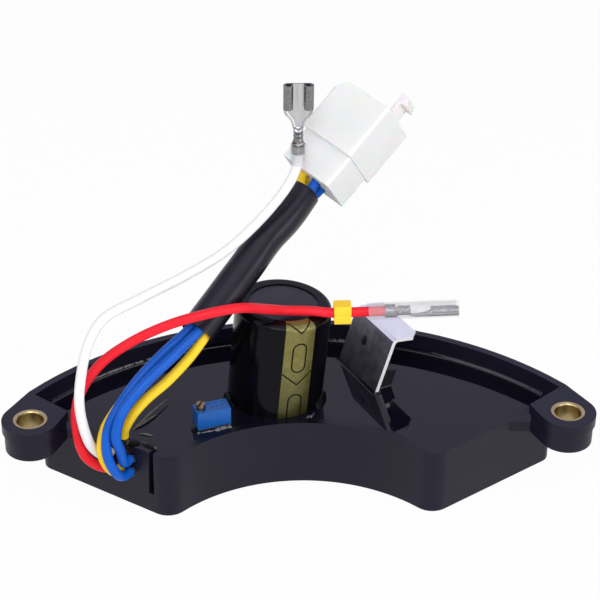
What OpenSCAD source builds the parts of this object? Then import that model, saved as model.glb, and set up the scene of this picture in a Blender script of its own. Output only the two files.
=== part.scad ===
// Automatic voltage regulator of a portable generator: a potted half-moon tray with two
// fixing ears, a smoothing capacitor, a power transistor on a bent heat sink, a set-point
// trimmer and flying leads. Millimetres, +Z up, +X along the line of the fixing holes.

/* [Tray] */
// Distance between the two fixing holes
hole_spacing = 132; // [126:1:138]
// Outer radius of the rear wall
rear_radius = 86.5; // [78:0.5:96]
// Radius of the bay that clears the alternator's bearing housing
bay_radius = 41.5; // [37:0.5:47]
// Distance of the bay's top behind the hole line
bay_reach = 4; // [2:0.1:5]
// Half the distance between the sharp front corners
front_corner_x = 32; // [31:0.5:33]
// Angle between a side wall and the hole line
side_angle = 35; // [33:0.5:37]
// Thickness of the walls
wall_t = 2; // [1.5:0.1:2.2]
// Thickness of the floor
floor_t = 2.5; // [2:0.1:4]
// Height of the front and side walls, where the potting ends
tray_h = 17.8; // [17:0.1:20]
// Height of the rear wall's rim and of the ears
rim_h = 23; // [22:0.5:26]
// Radius of the upright edges at the front corners
front_corner_r = 5; // [4:0.5:6]
// Radius of the upright edges at the rear corners
rear_corner_r = 3.5; // [3:0.5:5]
// Distance of the rear wall's end outside the hole, along the hole line
rear_end_x = 1.2; // [0.5:0.1:2]
// Distance of the rear wall's end behind the hole line
rear_end_y = 11.9; // [11:0.1:13]
// Diameter of the posts under the circuit board
post_d = 4; // [3:0.5:5]

/* [Ears] */
// Radius of an ear's round end
ear_r = 7; // [6.5:0.1:8]
// Thickness of an ear
ear_t = 8; // [7:0.5:10]
// Thickness of an ear's upper layer
ear_lip_t = 2.8; // [2:0.1:4]
// Step from the upper layer back to the lower one
ear_lip = 0.5; // [0.2:0.1:1]
// Distance of an ear's inner corner from the hole, along the hole line
ear_root_x = 9; // [8.5:0.5:10]
// Distance of an ear's inner corner behind the hole line
ear_root_y = 3.2; // [2.5:0.1:4]
// Outer diameter of the brass bushes
bush_od = 8.4; // [7.6:0.1:9]
// Bore of the brass bushes
bush_id = 6.4; // [5.5:0.1:6.8]
// Chamfer at the mouths of the bushes
bush_chamfer = 0.4; // [0.2:0.1:0.5]

/* [Wire exit] */
// Distance of the exit slot from the front corner, along the side wall
slot_s = 5; // [4.5:0.5:6]
// Width of the exit slot
slot_w = 15; // [14:0.5:16]
// Height of the slot's lower edge
slot_z = 5.5; // [4.5:0.5:7]
// Width of the shrinkage gap beside the potting at the slot's foot
slit_foot = 1.6; // [1:0.1:2]
// Width of that gap at the top
slit_top = 1.2; // [0.5:0.1:1.5]

/* [Circuit board] */
// Thickness of the board
board_t = 1.6; // [1:0.1:2.4]
// Height of the board's underside
board_z = 7.4; // [6:0.1:8]
// Gap between the board's edge and the walls
board_gap = 1; // [0.5:0.1:2]
// Gap between the potting and what is cast into it
cast_gap = 0.02; // [0.01:0.01:0.05]

/* [Capacitor] */
// Diameter of the capacitor over its sleeve
cap_d = 24.2; // [22:0.1:25]
// Length of the can
cap_l = 33.6; // [30:0.1:40]
// Sideways lean of the capacitor
cap_lean = 4.5; // [2:0.5:6]
// Place of the capacitor along the hole line
cap_x = -6.3; // [-8:0.1:-4]
// Clearance between the capacitor and the bay wall
cap_clear = 0.4; // [0.2:0.1:2]
// Distance of the can's foot above the board
cap_lift = 1.3; // [1.2:0.1:2]
// Thickness of the shrunk sleeve
cap_sleeve_t = 0.3; // [0.2:0.1:0.5]
// Width of the sleeve's lap over the top
cap_lap = 2.2; // [1.5:0.1:3]
// Radius of the can's rolled top edge
cap_edge_r = 1.2; // [0.8:0.1:2]
// Distance between the capacitor's pins
cap_pitch = 10; // [8:0.5:12]
// Diameter of the capacitor's pins
cap_pin_d = 1.5; // [1:0.1:2]

/* [Heat sink] */
// Thickness of the bent plate
sink_t = 1; // [0.8:0.1:1.5]
// Width of the plate
sink_w = 18.3; // [16:0.1:20]
// Height of the plate above the potting, along the plate
sink_up = 16.3; // [15:0.1:18]
// Length of the flange past the bend
sink_flange = 6.2; // [5:0.1:8]
// Inner radius of the bend
sink_bend_r = 1; // [0.5:0.1:2]
// Angle of the bend
sink_bend = 80; // [70:1:90]
// Lean of the plate
sink_lean = 19; // [15:0.5:21]
// Turn of the plate about the vertical
sink_turn = 26.5; // [24:0.5:29]
// Place of the plate's front edge at the potting, along the hole line
sink_x = 19.5; // [18.5:0.1:22]
// Distance of the plate's front edge at the potting behind the bay's face
sink_gap = 15.5; // [14:0.1:17]
// Chamfer of the flange's front corner
sink_chamfer = 2; // [0.5:0.1:3]

/* [Power transistor] */
// Width of the transistor
fet_w = 10; // [9:0.1:10.5]
// Height of the moulded body
fet_body_h = 9.2; // [8:0.1:10]
// Thickness of body and tab together
fet_t = 4.5; // [4:0.1:5]
// Thickness of the tab
fet_tab_t = 1.3; // [1:0.1:1.5]
// Length of the tab above the body
fet_tab_h = 6.3; // [6:0.1:7]
// Height of the fixing screw above the potting, along the plate
fet_screw_h = 10; // [9:0.1:11]
// Distance of the fixing screw from the plate's front edge
fet_screw_s = 6.4; // [5.6:0.1:8]
// Diameter of the fixing screw
fet_screw_d = 3; // [2.5:0.1:3.4]
// Diameter of the screw's head
fet_head_d = 5.6; // [5:0.1:6]

/* [Trimmer] */
// Length of the trimmer
trim_l = 8.6; // [8:0.1:9.6]
// Width of the trimmer
trim_w = 4.4; // [4.2:0.1:4.9]
// Height of the trimmer's body
trim_h = 10; // [9:0.1:11]
// Height of the body that stands out of the potting
trim_up = 5; // [4:0.1:6]
// Turn of the trimmer about the vertical
trim_turn = 18; // [14:1:22]
// Place of the trimmer's near left corner along the hole line
trim_x = -25.2; // [-26:0.1:-24.5]
// Distance of the trimmer's near left corner behind the bay's face
trim_gap = 4.7; // [4.2:0.1:6]
// Diameter of the adjusting screw
trim_screw_d = 2.3; // [2:0.1:2.6]
// Height of the adjusting screw above the body
trim_screw_up = 1.5; // [1:0.1:2]
// Radial clearance of the adjusting screw in the body
trim_fit = 0.05; // [0.02:0.01:0.09]

/* [Wires] */
// Outer diameter of the wires
wire_d = 2.5; // [2:0.1:2.6]
// Spacing of the wires along the exit slot
wire_pitch = 2.9; // [2.7:0.1:3.2]
// Distance of the first wire from the exit slot's front edge
wire_in = 6.8; // [6.5:0.1:7]
// Height of the lower wires above the slot's lower edge
wire_up = 4.7; // [4:0.1:5]
// Height of the upper wires above the lower ones
wire_row = 3.8; // [3.4:0.1:4]
// Outer diameter of the harness sleeve
loom_d = 9; // [8.6:0.1:9.4]
// Outer diameter of the harness sleeve at its upper end
loom_end_d = 7.8; // [7.6:0.1:8.4]
// Wall of the harness sleeve
loom_t = 0.5; // [0.4:0.1:0.6]

/* [Connector] */
// Width of the connector's rear block
plug_rear_w = 15.6; // [14:0.1:16]
// Height of the connector's rear block
plug_rear_h = 13; // [12:0.1:14.5]
// Length of the connector's rear block
plug_rear_l = 9; // [7:0.1:11]
// Width of the shroud
plug_w = 16.4; // [16:0.1:18]
// Height of the shroud
plug_h = 16.4; // [15:0.1:18]
// Length of the shroud
plug_l = 15.4; // [14:0.1:17]
// Wall of the shroud
plug_wall = 1.3; // [1:0.1:1.6]
// Depth of the shroud's mouth
plug_mouth = 12; // [9:0.1:13]
// Radius of the housing's long edges
plug_edge_r = 0.8; // [0.4:0.1:1.2]
// Bevel of the shroud's mating edge on the side away from the latch
plug_bevel = 3; // [1:0.1:4]
// Width of the latch
latch_w = 5; // [4:0.1:6]
// Place of the latch across its side of the shroud
latch_x = 3.2; // [0:0.1:4]
// Reach of the latch past the shroud's mating edge
latch_reach = 5.5; // [4:0.1:7]
// Height of the latch's hook
latch_hook = 2; // [1:0.1:2.5]
// Length of the latch's hook
latch_hook_l = 2.3; // [1.5:0.1:3]
// Width of the contact blades
blade_w = 5.6; // [5:0.1:6]
// Thickness of the contact blades
blade_t = 0.8; // [0.6:0.1:1]
// Distance between the contact blades across the width
blade_pitch_w = 6.8; // [6.4:0.1:7.2]
// Distance between the contact blades across the height
blade_pitch_h = 6; // [4:0.1:7]
// Distance of a wire from the connector's axis at its rear face
plug_spread = 2.8; // [2.6:0.1:3.4]
// Radial clearance of the wires in the connector's entries
entry_fit = 0.3; // [0.1:0.05:0.4]
// Depth of the connector's wire entries
entry_l = 3; // [2:0.1:4]

/* [Terminals] */
// Length of a receptacle
tab_l = 8.2; // [7:0.1:9]
// Width of a receptacle
tab_w = 7.4; // [6.8:0.1:8]
// Thickness of the terminals' sheet
tab_t = 0.4; // [0.3:0.05:0.5]
// Radius of the rolled sides
tab_curl_r = 1.5; // [1.2:0.1:1.8]
// Length of the conductor crimp
crimp_l = 3; // [2.6:0.1:4]
// Length of the insulation crimp
grip_l = 2.6; // [2:0.1:3.5]
// Length of the neck between the crimp and the receptacle
neck_l = 3.4; // [2.8:0.1:4]
// Length of the tapered shoulder at the receptacle's end of the neck
shoulder_l = 2.6; // [1.5:0.1:2.8]
// Wall of the clear sleeves
clear_t = 0.35; // [0.25:0.05:0.5]
// Length of the marker on the red wire
marker_l = 4.2; // [3.5:0.1:5]
// Height of the marker on the red wire
marker_h = 5; // [4.4:0.1:5.6]

/* [Hidden] */
$fn = 64;
hole_x = hole_spacing / 2;
board_top = board_z + board_t;
side_dir = [cos(side_angle), sin(side_angle)];
side_in = [-sin(side_angle), cos(side_angle)];
bay_c = [0, bay_reach - bay_radius];
rear_end = [hole_x + rear_end_x, rear_end_y];
rear_c = [0, rear_end.y - sqrt(rear_radius ^ 2 - rear_end.x ^ 2)];
rear_end_angle = acos(rear_end.x / rear_radius);
corner = behind_bay(front_corner_x, 0);

// Places at x that lie d behind the bay's face and d inside the rear wall's face
function behind_bay(x, d) = [x, bay_c.y + sqrt((bay_radius + d) ^ 2 - x ^ 2)];
function inside_rear(x, d) = [x, rear_c.y + sqrt((rear_radius - d) ^ 2 - x ^ 2)];

// Distance along the right side wall's line, moved in by inset, to a circle about c
function side_to_circle(inset, c, r) =
    let (p = corner + side_in * inset - c)
    let (b = p * side_dir)
    -b + sqrt(b ^ 2 - p * p + r ^ 2);
function on_side(inset, s) = corner + side_in * inset + side_dir * s;
function toward(a, b, d) = a + (b - a) / norm(b - a) * d;

// Least radius of a corner of an outline that is moved in
min_corner_r = 0.5;

// The part's origin lies under the middle of the tray and its ears
front_y = min(front_at(0).y - front_corner_r, -ear_r);
rear_y = rear_c.y + rear_radius;
mid_y = (front_y + rear_y) / 2;
cap_at = behind_bay(cap_x, wall_t + cap_clear + cap_d / 2);
sink_at = behind_bay(sink_x, sink_gap);
sink_foot_gap = 1;
sink_down = (tray_h - board_top - sink_foot_gap) / cos(sink_lean);
trim_at = behind_bay(trim_x, trim_gap);
trim_top = tray_h + trim_up;
trim_screw_at = [1.5, trim_w / 2];
trim_screw_in = 4;

// Middle of the exit slot's wire columns, along the wall from the front corner
wire_s = [for (i = [0:2]) slot_s + wire_in + i * wire_pitch];
wire_z = [for (i = [0:1]) slot_z + wire_up + i * wire_row];
// Overlap of pieces that are fused into one
join = 0.01;
// Place and heading of the connector's rear face, and its turn about its axis from facing the front
plug_at = [4.2, 37.8, 67.7];
plug_heading = 34.6;
plug_rise = 37.9;
plug_turn = 28.5;
plug_axis = [cos(plug_rise) * cos(plug_heading), cos(plug_rise) * sin(plug_heading), sin(plug_rise)];

// Routes of the harness and of the wires, measured from the hole line and the tray's underside
loom_route = [
    [-25, 4.6, 44.3], [-20.1, 10.7, 48.4], [-14.8, 16.8, 52.6], [-8.1, 24.9, 58.3], [-3.3, 29.5, 61.6],
    [2.4, 35.4, 65.9]];
white_route = [
    [-50.5, -5.2, 17.5], [-52, -7.6, 23.5], [-53, -9, 33], [-52.5, -8, 39.5], [-50.5, -5, 47.5],
    [-47, -1, 52], [-38.5, 4, 54.5], [-27, 11, 57], [-17, 18, 60], [-7, 24, 67.5], [-1.6, 28.4, 73.3],
    [0, 30, 77.5], [0, 30, 82.3]];
red_route = [
    [-52.5, -4.5, 14.5], [-54.5, -4, 22.5], [-53.5, -3, 31.5], [-48.5, -1, 39], [-41, -0.5, 45],
    [-31.5, -0.5, 50], [-22, -0.5, 53], [-15, 2.5, 52.5], [-8, 8.5, 48.4], [-3.5, 12, 45.8],
    [3, 12.5, 45.2], [7.5, 12, 45], [17, 12, 45.2], [23.5, 12, 45.4]];
blue_1_route = [
    [-44.8, -8.9, 12.4], [-46.8, -9.3, 17.4], [-47.2, -8.6, 21.7], [-46.5, -7.2, 25.4], [-44.3, -5.2, 29.3],
    [-39.6, -2, 35], [-34, 1.6, 39.7]];
blue_2_route = [
    [-43.9, -8.6, 19.5], [-44.7, -9.4, 23.7], [-43.8, -9, 28.3], [-41.9, -7.4, 31.6], [-36.9, -4.4, 36.6],
    [-30.9, -0.6, 40.8]];
yellow_1_route = [
    [-47.3, -6.9, 13.6], [-48.5, -7, 18], [-47.8, -5.2, 22.8], [-44.5, -1.8, 27.2], [-39, 2.2, 32.6],
    [-32.9, 6, 38]];
yellow_2_route = [
    [-43.3, -1.5, tray_h], [-43.3, -1.5, 19.4], [-42.8, -2.4, 21.8], [-40.9, -2.8, 25.7],
    [-37.5, -2.2, 29.8], [-32.3, -0.4, 33.8], [-26.8, 2.2, 39]];

// Moves from the hole line to the part's own origin
module framed() { translate([0, -mid_y, 0]) children(); }

// Both sides of a symmetrical piece
module both_sides() {
    children();
    mirror([1, 0, 0]) children();
}

// Points on the circle about c, the short way from one point to another
bay_steps = 20;
rear_steps = 26;
corner_steps = 8;
function arc_points(c, from, to, steps) =
    let (r = norm(from - c))
    let (a = atan2(from.y - c.y, from.x - c.x))
    let (turn = atan2(to.y - c.y, to.x - c.x) - a)
    let (short = turn > 180 ? turn - 360 : turn < -180 ? turn + 360 : turn)
    [for (i = [0:steps]) c + r * [cos(a + short * i / steps), sin(a + short * i / steps)]];
function tail(list) = [for (i = [1:len(list) - 1]) list[i]];
function back(list) = [for (i = [len(list) - 1:-1:0]) list[i]];
// A half that ends on the middle line, carried on over the left side
function both_halves(half) = concat(half, [for (p = tail(back(half))) [-p.x, p.y]]);

// Right half of the tray's outline, moved in by inset, from the bay's middle to the rear wall's
function front_r(inset) = max(min_corner_r, front_corner_r - inset);
function rear_r(inset) = max(min_corner_r, rear_corner_r - inset);
function front_at(inset) =
    let (r = front_r(inset))
    on_side(inset + r, side_to_circle(inset + r, bay_c, bay_radius + inset + r));
function rear_at(inset) =
    let (r = rear_r(inset))
    on_side(inset + r, side_to_circle(inset + r, rear_c, rear_radius - inset - r));
function rear_arc(inset) =
    let (r = rear_radius - inset)
    arc_points(rear_c, toward(rear_c, rear_at(inset), r), rear_c + [0, r], rear_steps);
function half_outline(inset) =
    let (f = front_at(inset), fr = front_r(inset), r = rear_at(inset), rr = rear_r(inset))
    concat(
        arc_points(bay_c, bay_c + [0, bay_radius + inset], toward(f, bay_c, fr), bay_steps),
        tail(arc_points(f, toward(f, bay_c, fr), f - side_in * fr, corner_steps)),
        arc_points(r, r - side_in * rr, toward(rear_c, r, rear_radius - inset), corner_steps),
        tail(rear_arc(inset)));

// Half-moon outline of the tray, moved in by inset
module tray_plan(inset = 0) { polygon(tail(both_halves(half_outline(inset)))); }

// Points of tangency from p to the circle of radius r about c
function tangent_at(c, r, p, turn) =
    let (d = norm(p - c), a = atan2(p.y - c.y, p.x - c.x) + turn * acos(r / d))
    c + r * [cos(a), sin(a)];

// Outline of the right ear, moved in by inset, with its toe inside the rear wall's end
ear_steps = 28;
ear_toe = 2;
function from_rear(r, angle) = rear_c + r * [cos(angle), sin(angle)];
module ear_plan(inset = 0) {
    hole = [hole_x, 0];
    r = ear_r - inset;
    root = hole + [-ear_root_x + inset, ear_root_y - inset / 2];
    inner = from_rear(rear_radius - wall_t, rear_end_angle);
    toe = from_rear(rear_radius - wall_t / 2, rear_end_angle + ear_toe);
    outer = from_rear(rear_radius - inset / 2, rear_end_angle);
    far = hole + [0, -r];
    polygon(concat(
        [root, inner, toe, outer],
        arc_points(hole, tangent_at(hole, r, outer, -1), far, ear_steps),
        arc_points(hole, far, tangent_at(hole, r, root, 1), ear_steps)));
}

// Gusset between the right ear and the side wall under the potting level
gusset_front = 4;
gusset_rear = 10;
module ear_root_plan() {
    root = [hole_x - ear_root_x + ear_lip, ear_root_y - ear_lip / 2];
    inner = from_rear(rear_radius - wall_t, rear_end_angle);
    s = (root - corner) * side_dir;
    from = s - gusset_front;
    polygon([root, inner, on_side(wall_t / 2, s + gusset_rear), on_side(wall_t / 2, from), on_side(0, from)]);
}

// The rear wall's arc between the two ears
function wall_end(inset) = concat([from_rear(rear_radius - inset, rear_end_angle)], rear_arc(inset));
module rear_wall_plan() { polygon(concat(both_halves(wall_end(0)), back(both_halves(wall_end(wall_t))))); }

// Local frame on the left side wall: x along the wall from the front corner, y outward
module on_left_wall(s, z) {
    translate([-corner.x - s * side_dir.x, corner.y + s * side_dir.y, z])
        rotate([0, 0, 180 - side_angle]) children();
}

// Places of the posts under the board, two by the side walls and two by the rear wall
post_in = 8.4;
post_s = 23;
rear_post_x = [-27, 33];
function left(p) = [-p.x, p.y];
side_post = on_side(post_in, post_s);
posts = [left(side_post), side_post, for (x = rear_post_x) inside_rear(x, post_in)];
// Margin by which cutters pass the faces that they cut
past = 0.5;

module tray() {
    color([0.13, 0.13, 0.15]) framed() {
        difference() {
            linear_extrude(tray_h) tray_plan();
            translate([0, 0, floor_t]) linear_extrude(tray_h) tray_plan(wall_t);
            on_left_wall(slot_s, slot_z) translate([0, -wall_t - past, 0])
                cube([slot_w, wall_t + 2 * past, tray_h]);
        }
        for (p = posts) translate([p.x, p.y, 0]) cylinder(h = board_z, d = post_d);
        translate([0, 0, rim_h - ear_t]) linear_extrude(ear_t) rear_wall_plan();
        both_sides() difference() {
            union() {
                translate([0, 0, rim_h - ear_lip_t]) linear_extrude(ear_lip_t) ear_plan();
                translate([0, 0, rim_h - ear_t]) linear_extrude(ear_t) ear_plan(ear_lip);
                translate([0, 0, rim_h - ear_t]) linear_extrude(tray_h - rim_h + ear_t) ear_root_plan();
            }
            translate([hole_x, 0, 0]) cylinder(h = 2 * rim_h, d = bush_od);
        }
    }
}

// Brass compression bush of an ear
module bush(side) {
    bore = bush_id / 2;
    mouth = bore + bush_chamfer;
    outer = bush_od / 2;
    color([0.75, 0.6, 0.35]) framed() translate([side * hole_x, 0, rim_h - ear_t]) rotate_extrude() polygon([
        [mouth, 0], [outer, 0], [outer, ear_t], [mouth, ear_t],
        [bore, ear_t - bush_chamfer], [bore, bush_chamfer]]);
}
module left_bush() { bush(-1); }
module right_bush() { bush(1); }

module board_solid(g = 0) {
    translate([0, 0, board_z - g]) linear_extrude(board_t + 2 * g) tray_plan(wall_t + board_gap - g);
}

module circuit_board() {
    color([0.2, 0.42, 0.25]) framed() difference() {
        board_solid();
        in_capacitor() capacitor_pin_places() translate([0, 0, -cap_l])
            cylinder(h = 2 * cap_l, d = cap_pin_d + 2 * pin_fit);
    }
}

// Local frame of the leaning capacitor, with its foot at the origin
module in_capacitor() {
    translate([cap_at.x, cap_at.y, board_top + cap_lift]) rotate([0, cap_lean, 0]) children();
}
module capacitor_pin_places() {
    for (i = [-1, 1]) translate([0, i * cap_pitch / 2, 0]) children();
}

// Half section of a can with a rolled top edge
module can_section(r, l, edge) {
    square([r, l - edge]);
    square([r - edge, l]);
    translate([r - edge, l - edge]) circle(edge);
}

can_r = cap_d / 2 - cap_sleeve_t;
can_t = 0.5;
bung_h = 3;
// Length of the capacitor's pins below the board and their clearance in its holes
pin_out = 1.5;
pin_fit = 0.6;

module capacitor_can() {
    color([0.75, 0.76, 0.78]) framed() in_capacitor() difference() {
        rotate_extrude() intersection() {
            can_section(can_r, cap_l, cap_edge_r);
            square([can_r, cap_l]);
        }
        translate([0, 0, -past]) cylinder(h = bung_h + past, r = can_r - can_t);
    }
}

module capacitor_sleeve() {
    color([0.09, 0.09, 0.1]) framed() in_capacitor() rotate_extrude() difference() {
        intersection() {
            can_section(cap_d / 2, cap_l + 2 * cap_sleeve_t, cap_edge_r + cap_sleeve_t);
            square([cap_d, 2 * cap_l]);
        }
        translate([0, -past]) can_section(can_r, cap_l + past + cap_sleeve_t, cap_edge_r);
        square([cap_d / 2 - cap_edge_r - cap_lap, 2 * cap_l]);
    }
}

module capacitor_top_disc() {
    color([0.12, 0.12, 0.13]) framed() in_capacitor()
        translate([0, 0, cap_l]) cylinder(h = cap_sleeve_t, r = can_r - cap_edge_r);
}

module capacitor_bung() {
    color([0.2, 0.2, 0.2]) framed() in_capacitor() difference() {
        cylinder(h = bung_h, r = can_r - can_t);
        capacitor_pin_places() translate([0, 0, -past]) cylinder(h = bung_h + 2 * past, d = cap_pin_d);
    }
}

// The pins reach from the bung through the board
module capacitor_pin_solid(g = 0) {
    reach = cap_lift + board_t + pin_out;
    in_capacitor() capacitor_pin_places() translate([0, 0, -reach - g])
        cylinder(h = reach + g + bung_h, d = cap_pin_d + 2 * g);
}
module capacitor_pins() { color([0.8, 0.8, 0.82]) framed() capacitor_pin_solid(); }

// Local frame of the plate: x out of its right face, y back along its foot, z up the plate from the potting
module in_sink() {
    translate([sink_at.x, sink_at.y, tray_h]) rotate([0, 0, sink_turn]) rotate([0, sink_lean, 0]) children();
}

// Section of the bent plate, moved out by g
module sink_section(g = 0) {
    outer = sink_bend_r + sink_t;
    far = 9 * outer;
    bend_z = sink_up - outer;
    translate([-g, -sink_down - g]) square([sink_t + 2 * g, sink_down + bend_z + g + join]);
    translate([outer, bend_z]) {
        intersection() {
            difference() {
                circle(outer + g);
                circle(sink_bend_r - g);
            }
            polygon([[0, 0], [-far, 0], [-far, far], far * [-cos(sink_bend), sin(sink_bend)]]);
        }
        rotate(-sink_bend) translate([-outer - g, -join]) square([sink_t + 2 * g, sink_flange + join]);
    }
}
module sink_solid(g = 0) {
    in_sink() translate([0, sink_w + g, 0]) rotate([90, 0, 0]) linear_extrude(sink_w + 2 * g) sink_section(g);
}

// Skin of the plate left under the screw's blind hole
screw_skin = 0.3;
screw_deep = sink_t - screw_skin;
// Ball that leaves the punch mark, its depth and its place as a share of the plate
punch_r = 1.5;
punch_deep = 0.5;
punch_share = 0.6;
module heat_sink() {
    outer = sink_bend_r + sink_t;
    run = sink_w / 2;
    color([0.72, 0.73, 0.75]) framed() difference() {
        sink_solid();
        in_sink() {
            // Blind hole of the transistor's screw
            translate([sink_t - screw_deep, fet_screw_s, fet_screw_h]) rotate([0, 90, 0])
                cylinder(h = sink_t, d = fet_screw_d);
            // Punch mark on the left face
            translate([punch_deep - punch_r, punch_share * sink_w, punch_share * sink_up]) sphere(punch_r);
            // Chamfered front corner of the flange
            translate([outer, 0, sink_up - outer]) rotate([0, sink_bend, 0])
                translate([-2 * outer, 0, sink_flange]) rotate([45, 0, 0])
                translate([0, -sink_chamfer, -sink_chamfer / sqrt(2)])
                cube([4 * outer, 2 * sink_chamfer, run]);
        }
    }
}

// Local frame of the transistor on the plate's right face, with its screw hole at the origin
module in_fet() { in_sink() translate([sink_t, fet_screw_s, fet_screw_h]) children(); }
fet_hole_drop = 2.8;
fet_body_top = fet_hole_drop - fet_tab_h;
fet_foot = fet_body_top - fet_body_h;
fet_pitch = 2.54;
fet_lead_w = 0.8;
fet_lead_t = 0.5;
fet_lead_gap = 0.6;
fet_lead_x = 2.5;
fet_hole_fit = 0.3;

module fet_body_solid(g = 0) {
    in_fet() difference() {
        translate([-g, -fet_w / 2 - g, fet_foot - g])
            cube([fet_t + 2 * g, fet_w + 2 * g, fet_body_h + 2 * g]);
        if (g == 0) fet_plate();
    }
}
// The tab runs behind the moulded body
module fet_plate() {
    translate([0, -fet_w / 2 - join, fet_foot - join])
        cube([fet_tab_t, fet_w + 2 * join, fet_body_h + 2 * join]);
}
module fet_lead_solid(g = 0) {
    lead_l = fet_screw_h + fet_foot + sink_down - fet_lead_gap;
    t = fet_lead_t + 2 * g;
    w = fet_lead_w + 2 * g;
    in_fet() for (i = [-1:1]) translate([fet_lead_x - t / 2, i * fet_pitch - w / 2, fet_foot - lead_l - g])
        cube([t, w, lead_l + g]);
}
module transistor_body() { color([0.1, 0.1, 0.11]) framed() fet_body_solid(); }
module transistor_tab() {
    color([0.78, 0.78, 0.8]) framed() {
        in_fet() difference() {
            translate([0, -fet_w / 2, fet_foot]) cube([fet_tab_t, fet_w, fet_body_h + fet_tab_h]);
            translate([-past, 0, 0]) rotate([0, 90, 0])
                cylinder(h = fet_tab_t + 2 * past, d = fet_screw_d + 2 * fet_hole_fit);
        }
        fet_lead_solid();
    }
}
fet_head_h = 2;
cross_w = 3;
cross_t = 0.7;
cross_deep = 1.2;
module transistor_screw() {
    color([0.82, 0.82, 0.84]) framed() in_fet() difference() {
        rotate([0, 90, 0]) {
            translate([0, 0, -screw_deep]) cylinder(h = screw_deep + fet_tab_t + past, d = fet_screw_d);
            translate([0, 0, fet_tab_t]) cylinder(h = fet_head_h, d = fet_head_d);
        }
        for (a = [0, 90]) translate([fet_tab_t + fet_head_h, 0, 0]) rotate([a, 0, 0])
            cube([2 * cross_deep, cross_w, cross_t], center = true);
    }
}

// Local frame of the trimmer, with its near left corner at the origin and z at its top
module in_trimmer() { translate([trim_at.x, trim_at.y, trim_top]) rotate([0, 0, trim_turn]) children(); }
module trimmer_solid(g = 0) {
    translate([-g, -g, -trim_h - g]) cube([trim_l + 2 * g, trim_w + 2 * g, trim_h + g]);
}
// Rib round the sunk panel of the top face, the panel's depth and its mould marks
trim_rib = 0.35;
trim_sunk = 0.2;
trim_mark_d = 0.6;
trim_mark_deep = 0.5;
trim_mark_pitch = 1.3;
module trimmer_body() {
    panel_x = 2 * trim_screw_at.x;
    color([0.12, 0.42, 0.8]) framed() in_trimmer() difference() {
        trimmer_solid();
        translate([trim_screw_at.x, trim_screw_at.y, -trim_screw_in])
            cylinder(h = trim_screw_in + past, d = trim_screw_d + 2 * trim_fit);
        translate([panel_x, trim_rib, -trim_sunk])
            cube([trim_l - panel_x - trim_rib, trim_w - 2 * trim_rib, 2 * trim_sunk]);
        for (i = [1:3]) translate([panel_x + i * trim_mark_pitch, trim_w / 2, -trim_mark_deep])
            cylinder(h = trim_mark_deep, d = trim_mark_d);
    }
}
trim_slot_t = 0.5;
trim_slot_deep = 0.6;
trim_slot_turn = 50;
trim_foot_gap = 0.3;
module trimmer_screw() {
    foot = trim_foot_gap - trim_screw_in;
    at = [trim_screw_at.x, trim_screw_at.y, 0];
    color([0.75, 0.6, 0.32]) framed() in_trimmer() translate(at) difference() {
        translate([0, 0, foot]) cylinder(h = trim_screw_up - foot, d = trim_screw_d);
        translate([0, 0, trim_screw_up]) rotate([0, 0, trim_slot_turn])
            cube([2 * trim_screw_d, trim_slot_t, 2 * trim_slot_deep], center = true);
    }
}
trim_pin_pitch = 2.54;
trim_pin_d = 0.6;
module trimmer_pin_solid(g = 0) {
    drop = trim_top - trim_h - board_top;
    in_trimmer() for (i = [-1:1]) translate([trim_l / 2 + i * trim_pin_pitch, trim_w / 2, -trim_h - drop])
        cylinder(h = drop, d = trim_pin_d + 2 * g);
}
module trimmer_pins() { color([0.8, 0.8, 0.82]) framed() trimmer_pin_solid(); }

// Axial part lying on the board: body of diameter d and length l, leads bent down to the board
module axial_at(p, turn) { translate([p.x, p.y, board_top]) rotate([0, 0, turn]) children(); }
axial_lift = 0.4;
axial_reach = 1.6;
module axial_body(d, l, g = 0) {
    translate([-l / 2 - g, 0, d / 2 + axial_lift]) rotate([0, 90, 0]) cylinder(h = l + 2 * g, d = d + 2 * g);
}
module axial_leads(d, l, lead, g = 0) {
    reach = l / 2 + axial_reach;
    for (i = [-1, 1]) {
        translate([min(i * l / 2, i * reach), 0, d / 2 + axial_lift]) rotate([0, 90, 0])
            cylinder(h = axial_reach, d = lead + 2 * g);
        translate([i * reach, 0, 0]) cylinder(h = d / 2 + axial_lift + lead / 2 + g, d = lead + 2 * g);
    }
}

diode_d = 5;
diode_l = 7.5;
diode_lead = 1.2;
diode_pitch = 6.5;
diode_in = 4.2;
diode_reach = diode_l / 2 + axial_reach;
// The first diode's front lead clears the left side wall
diode_clear = 1.1;
diode_row_c = rear_c - [0, 2 * diode_reach];
diode_inset = wall_t + diode_clear + diode_lead / 2;
diode_x = -on_side(diode_inset, side_to_circle(diode_inset, diode_row_c, rear_radius - diode_in)).x;
function diode_at(i) = inside_rear(diode_x + i * diode_pitch, diode_in) - [0, diode_reach];
module all_diodes(part, g = 0) {
    for (i = [0:3]) axial_at(diode_at(i), 90) {
        if (part == "body") axial_body(diode_d, diode_l, g);
        if (part == "leads") axial_leads(diode_d, diode_l, diode_lead, g);
    }
}
module rectifier_diodes() { color([0.1, 0.1, 0.1]) framed() all_diodes("body"); }
module diode_leads() { color([0.8, 0.8, 0.82]) framed() all_diodes("leads"); }

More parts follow.
